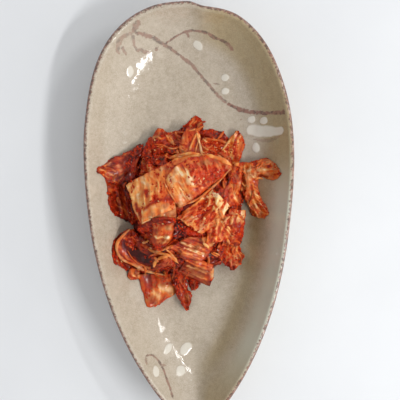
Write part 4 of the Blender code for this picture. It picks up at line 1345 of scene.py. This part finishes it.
def layMiddle():
    layCut("rightKnot", "half", ((38, 41), (36, 30), (36, 20), (38, 12)),
           ((27, 40), (26, 28), (24, 18), (27, 10)), (0.46, 0.38, 0.36, 0.42), 20, 70, crumple=1.4,
           stain=0.7,
           streaks=((30, 40, 29, 22, 1.0, 0.56), (33, 40, 32, 18, 1.0, 0.24), (35, 38, 34, 20, 1.0, 0.62),
                    (27, 30, 26, 26, 2.2, -0.1), (36, 21, 37, 14, 2.0, -0.1), (31, 16, 33, 11, 1.0, 0.56)))
    layCut("upright", "half", ((23, 42), (24.5, 49), (27, 55), (31, 60), (34, 63)),
           ((34, 38), (36.5, 44), (38.5, 51), (39, 56), (36.5, 61)), (0.79, 0.61, 0.57, 0.67), 20, 50,
           pitch=9, roll=3, crumple=0.7, paste=0.02, stain=1.00,
           streaks=((25, 44, 28.5, 56, 1.6, 0.92), (29, 42, 30.5, 52, 1.0, 0.80),
                    (31, 47, 32.5, 57, 1.2, 0.24), (34.5, 56, 34, 50, 1.6, 0.80),
                    (36, 44, 38.5, 56, 1.4, 0.50), (34.5, 62, 35, 61, 1.2, 0.04),
                    (30, 58, 33, 61, 1.4, 0.74)))
    layCut("flakeLeaf", "leaf", ((7, 57), (13, 57), (20, 56), (28, 54)), ((8, 43), (18, 41.5), (29, 40)),
           (0.63, 0.57, 0.65, 0.67), 15, 50, paste=0.15, stain=0.8,
           streaks=((11, 56, 26, 53.5, 1.3, 0.74), (21, 44.5, 28, 41, 1.0, 0.84),
                    (22, 50, 26, 49, 1.2, 0.66), (14, 47, 17, 46, 1.6, 0.16), (12, 53, 20, 50, 1.2, 0.5)))
    layStrand(((11, 57.5), (16, 56.5), (21, 56), (27, 53.5)), 1.8, 0.62)
    layStrand(((20, 46), (24, 43.5), (29, 41)), 1.2, 0.78)
    layStrand(((23, 49), (26, 52.5), (29, 57)), 1.4, 0.80)
    layCut("orangePost", "rib", ((-5, 44), (-6, 52), (-4, 59), (-1, 63.5)),
           ((10, 43), (9.5, 53), (8, 60), (4.5, 63.5)), (0.48, 0.40, 0.44, 0.54), 15, 60, pitch=3,
           stain=0.7, groove=0.25,
           streaks=((-3, 60, -3, 47, 2.0, 0.56), (1, 61, 0, 52, 1.6, 0.52), (6, 55, 6, 52, 2.0, 0.24),
                    (3, 47, 5, 46, 1.6, 0.3), (6, 62, 8, 58, 1.2, 0.8)))
    layStrand(((1, 48), (3, 54), (6, 60.5)), 1.4, 0.76)
    layStrand(((9.5, 44.5), (8, 52), (6, 60)), 1.6, 0.84)
    layStrand(((5, 45), (5.5, 50), (7, 55)), 1.0, 0.66)
    layStrand(((0, 61.5), (5, 63), (11, 66.5)), 1.3, 0.62)
    layCut("rightLeaf", "half", ((39, 8), (38.5, 1), (37.8, -4), (37, -9), (35.5, -15)),
           ((27, 10), (25, 0), (23.5, -8), (22, -16)), (0.76, 0.54, 0.36, 0.38), 20, 60, stain=0.6,
           streaks=((33, 8, 38.5, 4, 2.2, 0.88), (38, 6, 37, -2, 1.1, 0.84), (34, -2, 34, -12, 2.6, 0.30),
                    (28, 4, 27, -6, 0.8, 0.70), (31, -4, 30, -12, 0.7, 0.56)))
    layCut("yellowRib", "rib", ((0, -23), (9, -27), (17, -30.5), (17.5, -37)),
           ((-7, -33), (2, -38.5), (9, -42), (14.5, -44)), (0.27, 0.29, 0.31, 0.45), 10, 50, paste=-0.12,
           redEdge=0.10, grain=0.10, stain=0.30,
           streaks=((0, -29, 12, -34, 1.3, 0.70), (16.5, -32, 16.5, -42, 1.5, 0.80),
                    (13.5, -40.5, 14.5, -40.5, 1.2, 0.16), (3, -35, 12, -39, 0.9, 0.62),
                    (2, -31, 14, -37, 0.7, 0.36), (4, -33, 13, -38, 0.5, 0.34),
                    (-3, -31, 4, -36, 1.4, 0.34)))
    layCut("veinFork", "leaf", ((-10, -28), (-18, -31), (-25, -31)), ((-6, -12), (-14, -15), (-24, -17)),
           (0.30, 0.40, 0.30, 0.22), 20, 50, veins=0.6, paste=-0.25, crumple=1.2, stain=0.6,
           streaks=((-18, -15, -8, -21, 2.0, 0.50), (-17, -27, -12, -30, 2.8, 0.34),
                    (-17, -19, -11, -17, 1.2, 0.12), (-9, -22, -7, -30, 1.4, 0.10),
                    (-25, -24, -20, -26, 2.0, 0.10)))
    layStrand(((-11, -20.5), (-15, -22), (-18.5, -23.5), (-21.5, -26), (-23, -30)), 2.2, 0.74, 0.5, stain=1)
    layStrand(((-27, -17.5), (-22, -19.5), (-17, -20), (-12, -21.5), (-6, -27)), 1.8, 0.72, 0.5, stain=0.9)
    layStrand(((-9, -14.5), (-14, -16.5), (-19, -18.5), (-22, -19)), 1.6, 0.74, 0.5)
    layStrand(((-14, -17), (-11, -20), (-7, -25)), 1.6, 0.78, 0.5)
    layStrand(((-8.5, -26), (-9.5, -33), (-11, -40)), 1.6, 0.36, 0.4)
    # Its dark streak near (-4.5, -3.5) is painted shade in a gap.
    layCut("redCentre", "leaf", ((-9, 2), (0, 1), (12, -2)), ((-9, -10), (0, -12), (10, -13)),
           (0.1, 0.08, 0.2, 0.22), 15, 70,
           streaks=((-6, -1, -3, -6, 3.2, -0.2), (2, -2, 10, -7, 1.0, 0.3)))
    layCut("ribUnder", "rib", ((-2, -18), (5, -22), (11, -25.5), (17, -28)),
           ((-6, -22), (1, -27), (8, -30.5), (16, -32.5)), (0.44, 0.40, 0.44, 0.50), 15, 60, paste=-0.1,
           redEdge=0.10, stain=0.7, groove=0.3,
           streaks=((-2, -21, 15, -29.5, 0.8, 0.62), (0, -25, 13, -31, 0.7, 0.56),
                    (-3, -22.5, 10, -29, 0.5, 0.30)))
    layCut("paleRib", "rib", ((1, -8.5), (8, -9.5), (14, -12), (17, -17)),
           ((-12, -16), (-7, -20.5), (1, -24), (9, -25.5)), (0.32, 0.42, 0.43, 0.42), 25, 50, paste=-0.2,
           redEdge=0.06, stain=0.60, groove=0.45, grain=0.15,
           streaks=((-7, -16, 3, -21, 1.0, 0.74), (-5, -15.5, 10, -20, 1.1, 0.82),
                    (-4, -13, 6, -17, 0.7, 0.78), (-3, -18.5, 8, -24, 0.8, 0.78),
                    (2, -13.5, 14, -17, 0.8, 0.68), (-4, -10, 9, -10.5, 1.8, 0.34),
                    (-8, -15, -2, -21, 0.5, 0.40), (-4, -17, 8, -22, 0.45, 0.46),
                    (-3, -14.3, 11, -18.5, 0.45, 0.42), (0, -12, 12, -15.5, 0.5, 0.44),
                    (-2, -16.2, 9, -21, 0.4, 0.90), (1, -14, 11, -17.3, 0.35, 0.86)))
    layCut("paleKnuckle", "rib", ((9, -9), (14, -9), (20, -8.5)), ((11, -16), (15, -16), (19, -13)),
           (0.60, 0.62, 0.72, 0.74), 20, 60, paste=-0.25, stain=0.7,
           streaks=((14, -12, 18, -10.5, 1.4, 0.86), (10, -10, 13, -15, 0.8, 0.44),
                    (17, -13, 20, -10, 0.7, 0.5)))
    layCut("veinedLeaf", "leaf", ((32, 6), (31, -3), (30, -13)), ((13, 4), (12, -4), (12, -13)),
           (0.50, 0.46, 0.48, 0.48), 20, 35, crumple=1.2, stain=0.7, paste=-0.05,
           streaks=((20, 4, 29, -9, 0.9, 0.82), (20, 2, 19, -11, 0.9, 0.78), (24, 3, 28, -4, 0.8, 0.78),
                    (29, 5, 29, -10, 0.8, 0.74), (22, -2, 26, -11, 0.8, 0.76), (16, 3, 15, -10, 0.8, 0.72),
                    (18, 0, 15, -6, 0.7, 0.74), (25, -7, 23, -12, 0.7, 0.70)))
    layCut("smallFold", "rib", ((-9, 2), (-9, -5), (-11, -12), (-17, -17)),
           ((-23, 0), (-23.5, -7), (-23.5, -13), (-21, -17)), (0.50, 0.46, 0.36, 0.36), 10, 90, stain=0.55,
           groove=0.2,
           streaks=((-21, -9, -12, -9.5, 1.2, 0.90), (-19, -12, -13, -12.5, 0.8, 0.56),
                    (-20, -3, -12, -3.5, 2.0, 0.58), (-22, -10, -21, -13, 1.0, 0.3),
                    (-20, -15, -12, -14, 1.6, 0.26)))
    layCut("creamStem", "rib", ((-30, 9), (-22, 13.5), (-15, 13), (-8, 12)),
           ((-30, -1), (-23, 2.5), (-15, 2.5), (-7, 2)), (0.70, 0.68, 0.58, 0.54), 15, 30, pitch=2,
           paste=-0.3, redEdge=0.04, stain=0.15,
           streaks=((-24, 11, -23, 4, 4.4, 0.90), (-27, 8, -26, 1, 2.0, 0.70), (-17, 11, -14, 5, 2.6, 0.60),
                    (-10, 11, -9, 4, 3.0, 0.46), (-21, 12.5, -18, 8, 1.0, 0.90)))
    layCut("stemFace", "rib", ((-24, 4), (-16, 4.2), (-8, 3.5)), ((-23, 0.5), (-16, 0), (-8, 0.5)),
           (0.30, 0.24, 0.2, 0.28), 10, 70, thick=1.6, paste=0.05)
    layCut("pasteLeaf", "half", ((28.5, 11), (23, 4), (16, -3), (9, -7)),
           ((14.5, 24), (8, 16), (0, 9.5), (-7, 3.5)), (0.75, 0.67, 0.47, 0.47), 35, 50, redEdge=-0.10,
           stain=0.7, paste=-0.05,
           streaks=((23, 11, 17, 20, 4.0, 0.82), (27.5, 13, 23, 6, 1.4, 0.88), (-6, 3, 8, -5.5, 0.9, 0.66),
                    (6, 4, 14, 9, 2.0, 0.40), (12, 14, 6, 9, 1.4, 0.70), (11, 3, 12.5, 0.5, 1.4, 0.92),
                    (3, 9, 1, 5, 1.4, 0.52), (9, 11, 11, 8, 0.9, 0.80), (0, 4, 8, 0, 1.4, 0.5)))


def layCrown():
    # Its palest streak, at the tip near (-40, 24), is a painted highlight; the dark streak near (-8, 36) is
    # painted shade.
    layCut("creamLeaf", "rib", ((-7, 43), (-6, 33), (-7, 22), (-8, 10)),
           ((-42, 25), (-38, 17), (-36, 9), (-31, 0)), (0.67, 0.82, 0.77, 0.63), 30, 40, roll=4, thick=2.4,
           crumple=0.9, groove=0.3, redEdge=0.02, stain=0.70,
           streaks=((-33, 28, -28, 12, 5.0, 0.77), (-24, 30, -21, 14, 4.5, 0.69),
                    (-13, 40, -13, 18, 6.0, 0.53), (-41.5, 24, -38, 24, 1.6, 1.00),
                    (-34, 31, -32, 13, 1.3, 0.93), (-30, 34, -28.5, 26, 1.2, 0.91),
                    (-31, 18, -29.5, 7, 1.1, 0.85), (-37, 23, -35, 12, 1.2, 0.81),
                    (-25, 34, -24.5, 27, 1.3, 0.79), (-27.5, 21, -26.5, 18, 1.9, 0.24),
                    (-22, 40, -20, 30, 1.6, 0.57), (-16, 38, -15, 28, 0.9, 0.63),
                    (-9, 41, -8, 32, 1.8, 0.18), (-34, 12, -31, 5, 1.8, 0.30),
                    (-24, 16, -22, 24, 0.9, 0.79), (-19, 15, -9, 16, 1.6, 0.34),
                    (-28, 9, -20, 15, 1.4, 0.34), (-34, 5, -31, 2, 1.2, 0.61)))
    layCut("crownFringe", "leaf", ((-12, 43.5), (-5, 46), (1, 47), (9, 45.5), (18, 44), (28, 41.5)),
           ((-9, 38), (2, 39), (12, 38.5), (28, 36)), (0.66, 0.60, 0.56, 0.62), 30, 20, roll=3, paste=-0.4,
           crumple=0.6, veins=0.2, stain=0.8,
           streaks=((-11, 43, -2, 45, 1.3, 0.78), (1, 45, 12, 43.5, 2.0, 0.74), (12, 43, 16, 42, 1.2, 0.4),
                    (18, 43, 25, 41.5, 1.2, 0.70)))
    # Its two palest streaks, near (-5, 34) and (0, 32), are painted highlights.
    layCut("crownStem", "rib", ((28, 41.5), (29.7, 38.5), (30, 35.5)),
           ((-14.5, 28.5), (-11.5, 20), (-8, 13), (-4.5, 9.5)), (0.47, 0.63, 0.55, 0.43), 40, 50, roll=-2,
           roundStart=9, redEdge=0.0, groove=0.3, crumple=1.0, stain=0.62,
           streaks=((-11, 29, 1, 15, 6.0, 0.79), (-7, 35, 4, 24, 3.2, 0.86), (-6.5, 36.5, -4, 32, 1.6, 1.0),
                    (-1.5, 35, 1.5, 29, 2.0, 1.0), (-13, 26, -6, 11.5, 0.5, 0.50),
                    (-11, 29, -3.5, 13, 0.45, 0.62), (-8.5, 31, 0, 14.5, 0.5, 0.56),
                    (-4.5, 31, 4, 17, 0.55, 0.60), (-4, 38, -1, 33, 0.7, 0.30), (1, 39, 2.5, 31, 0.8, 0.28),
                    (-3, 11, 9, 18.5, 1.8, 0.50), (8, 27, 9, 23, 1.6, 0.84), (10, 35, 11, 33, 1.2, 0.8),
                    (17, 38, 22, 38, 2.4, 0.62), (22, 40, 26, 40, 1.6, 0.72), (16, 33, 20, 30, 2.2, 0.50),
                    (24, 36, 28, 38, 1.8, 0.56), (5, 22, 10, 25, 1.6, 0.46)))
    layStrand(((-13, 42.5), (-6, 44.5), (2, 45.8), (9, 45)), 2.2, 0.76, 0.35, 0.0, 1.0)
    layStrand(((9, 45), (15, 44), (22, 42), (29, 38)), 2.8, 0.74, 0.35, 0.0, 0.8)
    layStrand(((-3, 11.5), (5, 15), (12, 20), (20, 27), (28, 35.5)), 1.5, 0.66)
    layStrand(((-16, 28.5), (-12.5, 21), (-8, 14)), 1.0, 0.7)


# Fine shreds strewn in the rougher places: x, y, reach across, reach along, how many, tones, heading
shreds = {
    "places": (
        (-26, -20, 14, 10, 5, (0.5, 0.8), -30), (-12, 53, 12, 7, 8, (0.45, 0.75), -40),
        (16, 52, 10, 6, 5, (0.45, 0.75), 20), (22, -2, 8, 9, 7, (0.65, 0.85), 70),
        (8, -18, 9, 6, 4, (0.6, 0.85), -35), (-47, 18, 6, 12, 5, (0.35, 0.6), 110),
        (42, 22, 5, 13, 6, (0.5, 0.75), 100), (0, -42, 8, 10, 4, (0.35, 0.55), 100),
        (30, 25, 6, 12, 6, (0.4, 0.7), 95), (32, -14, 5, 10, 5, (0.45, 0.7), 100),
        (50, 36, 7, 4, 4, (0.5, 0.75), 10), (3, 67, 5, 3, 2, (0.4, 0.6), 40),
    ),
    "long": (4, 10),
    "wide": (0.9, 1.9),
    "stray": 35,
    "bow": 0.05,
    "rise": 0.35,
    "parts": 5,
    "seed": 44,
}


def layShreds():
    draw = np.random.default_rng(shreds["seed"])
    for x, y, rx, ry, count, tones, heading in shreds["places"]:
        for _ in range(count):
            turn, far = draw.uniform(0, 2 * math.pi), math.sqrt(draw.uniform(0, 1))
            angle = math.radians(heading + draw.uniform(-shreds["stray"], shreds["stray"]))
            bow = draw.uniform(-shreds["bow"], shreds["bow"])
            place = np.array([x + rx * far * math.cos(turn), y + ry * far * math.sin(turn)])
            long = draw.uniform(*shreds["long"])
            line = []
            for _ in range(shreds["parts"]):
                place = place + np.array([math.cos(angle), math.sin(angle)]) * long / shreds["parts"]
                angle += bow * long
                line.append(tuple(place))
            layStrand(line, draw.uniform(*shreds["wide"]), draw.uniform(*tones), shreds["rise"])


layRing()
layMiddle()
layCrown()
layShreds()
joined("looseFibres", strands)
print("kimchi: ", len(laidCuts), "cuts,", sum(len(c["object"].data.polygons) for c in laidCuts), "faces")


# Chilli flakes and seeds, in mm
scatter = {
    "flakes": 2700,
    "flakeSize": (0.35, 1.05),
    "seeds": 34,
    "seedSize": (0.50, 0.85),
    "longer": (0.9, 1.3),
    "narrower": (0.55, 0.9),
    "tilt": 0.18,
    "covered": 0.9,             # a place that lies deeper than this is covered
}


# Points on the cuts' upper faces that nothing covers, with their normals
def openPoints():
    spots, normals, weights = [], [], []
    for cut in laidCuts:
        points, normal, paste = cut["points"], cut["normal"], cut["paste"]
        free = (points[..., 2] > heightIn(heightUnder, points) - scatter["covered"]).ravel()
        spots.append(points.reshape(-1, 3)[free])
        normals.append(normal.reshape(-1, 3)[free])
        weights.append(np.clip(paste.ravel()[free] - 0.15, 0.02, 1) ** 2)
    return np.concatenate(spots), np.concatenate(normals), np.concatenate(weights)


# Small flat or domed grains. clumped above 1 gathers them where the paste is thickest.
def scatterOn(name, count, sizes, sides, domed, material, seed, spread=1.0, clumped=1):
    spots, normals, weights = openSpots
    weights = weights ** clumped
    draw = np.random.default_rng(seed)
    chosen = draw.choice(len(spots), count, p=weights / weights.sum())
    vertices, faces = [], []
    for index in chosen:
        up = normals[index] + draw.normal(0, scatter["tilt"], 3)
        up /= np.linalg.norm(up)
        side = np.cross(up, draw.normal(0, 1, 3))
        side /= np.linalg.norm(side)
        other = np.cross(up, side)
        size = draw.uniform(*sizes)
        long, wide = size * draw.uniform(*scatter["longer"]), size * draw.uniform(*scatter["narrower"])
        turn = np.arange(sides) * 2 * math.pi / sides + draw.uniform(-0.25, 0.25, sides)
        reach = draw.uniform(1 - 0.3 * spread, 1 + 0.2 * spread, sides)
        ringPoints = (spots[index] + up * 0.10 + np.outer(np.cos(turn) * reach, side) * long
                      + np.outer(np.sin(turn) * reach, other) * wide)
        start = len(vertices)
        vertices.extend(ringPoints - up * 0.25)
        vertices.extend(ringPoints + up * 0.05)
        vertices.append(spots[index] + up * (0.15 + domed))
        for k in range(sides):
            after = (k + 1) % sides
            faces.append((start + k, start + after, start + sides + after, start + sides + k))
            faces.append((start + sides + k, start + sides + after, start + 2 * sides))
    made = meshObject(name, np.array(vertices) * mm, faces, material)
    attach(made, "root")
    return made


def makeFlake():
    material, tree, shader, place = newMaterial("chilliFlake")
    patch = noiseAt(tree, place, 350.0, 2.0)
    colour = ramp(tree, patch, (
        (0.3, (0.22, 0.008, 0.002)),
        (0.5, (0.48, 0.022, 0.003)),
        (0.7, (0.70, 0.07, 0.008)),
    ))
    setInputs(tree, shader, {"Base Color": colour, "Roughness": 0.4, "Specular IOR Level": 0.0,
                             "Coat Weight": 0.7, "Coat Roughness": 0.07, "Coat IOR": 1.36})
    return material


def makeSeed():
    material, tree, shader, place = newMaterial("chilliSeed")
    patch = noiseAt(tree, place, 600.0, 2.0)
    colour = ramp(tree, patch, ((0.3, (0.70, 0.34, 0.11)), (0.7, (0.80, 0.52, 0.22))))
    setInputs(tree, shader, {"Base Color": colour, "Roughness": 0.4, "Specular IOR Level": 0.1,
                             "Coat Weight": 0.8, "Coat Roughness": 0.08})
    return material


openSpots = openPoints()
scatterOn("chilliFlakes", scatter["flakes"], scatter["flakeSize"], 6, 0.0, makeFlake(), 71)
scatterOn("chilliSeeds", scatter["seeds"], scatter["seedSize"], 10, 0.2, makeSeed(), 72,
          spread=0.2, clumped=2.5)
print("scatter: ", scatter["flakes"], "flakes and", scatter["seeds"], "seeds")


# Table, light and camera, in m
stage = {
    "tableColour": (0.765, 0.78, 0.80),
    "tableHalf": 4.0,
    "tableTop": -0.0004,
    # the room's light from straight above, and from low down on each side
    "overhead": (0.52, 0.52, 0.52),
    "around": ((0.56, 0.57, 0.59), (1.10, 1.10, 1.09)),
    # each window: bearing and height in degrees, how far, its width and height, its power
    "windows": {
        "wideWindow": (-25, 45, 1.3, (0.52, 0.055), 7.2),
        "smallWindow": (24, 44, 1.3, (0.30, 0.055), 2.6),
    },
    "cameraAt": (0.0075, 0.0105),
    "cameraRise": 0.450,                # above the rim
    "frameWidth": 0.270,                # what the view spans at the rim
}


def makeTable():
    material, tree, shader, place = newMaterial("paleTable")
    patch = noiseAt(tree, place, 12.0, 3.0)
    lighter = tuple(part * 1.04 for part in stage["tableColour"])
    colour = ramp(tree, patch, ((0.3, stage["tableColour"]), (0.7, lighter)))
    setInputs(tree, shader, {"Base Color": colour, "Roughness": 0.55})
    half = stage["tableHalf"]
    corners = [(half * i, half * j, stage["tableTop"]) for i, j in ((-1, -1), (1, -1), (1, 1), (-1, 1))]
    table = meshObject("table", corners, [(0, 1, 2, 3)], material)


def makeLamp(name, bearing, rise, far, size, power):
    lamp = bpy.data.lights.new(name, "AREA")
    lamp.shape = "RECTANGLE"
    lamp.size, lamp.size_y = size
    lamp.energy = power
    made = bpy.data.objects.new(name, lamp)
    bpy.context.scene.collection.objects.link(made)
    turn, tilt = math.radians(bearing), math.radians(rise)
    place = far * Vector((math.cos(turn) * math.cos(tilt), math.sin(turn) * math.cos(tilt), math.sin(tilt)))
    made.location = place
    made.rotation_euler = (-place).to_track_quat("-Z", "Y").to_euler()


def makeLight():
    world = bpy.data.worlds.new("softRoom")
    bpy.context.scene.world = world
    world.use_nodes = True
    tree = world.node_tree
    direction = node(tree, "SeparateXYZ", {0: node(tree, "TexCoord", {}).outputs["Generated"]})
    around = mixColour(tree, fade(tree, direction.outputs["X"], -0.8, 0.8), *stage["around"])
    colour = mixColour(tree, fade(tree, direction.outputs["Z"], 0.35, 1.0), around, stage["overhead"])
    tree.links.new(colour, tree.nodes["Background"].inputs["Color"])
    for name, window in stage["windows"].items():
        makeLamp(name, *window)


def makeCamera():
    lens = bpy.data.cameras.new("camera")
    camera = bpy.data.objects.new("camera", lens)
    bpy.context.scene.collection.objects.link(camera)
    camera.location = (*stage["cameraAt"], dishHigh[2] + stage["cameraRise"])
    lens.lens = lens.sensor_width * stage["cameraRise"] / stage["frameWidth"]
    lens.clip_start = 0.01
    bpy.context.scene.camera = camera


makeTable()
makeLight()
makeCamera()
bpy.context.scene.view_settings.view_transform = "Standard"
print("stage: table, window and camera")
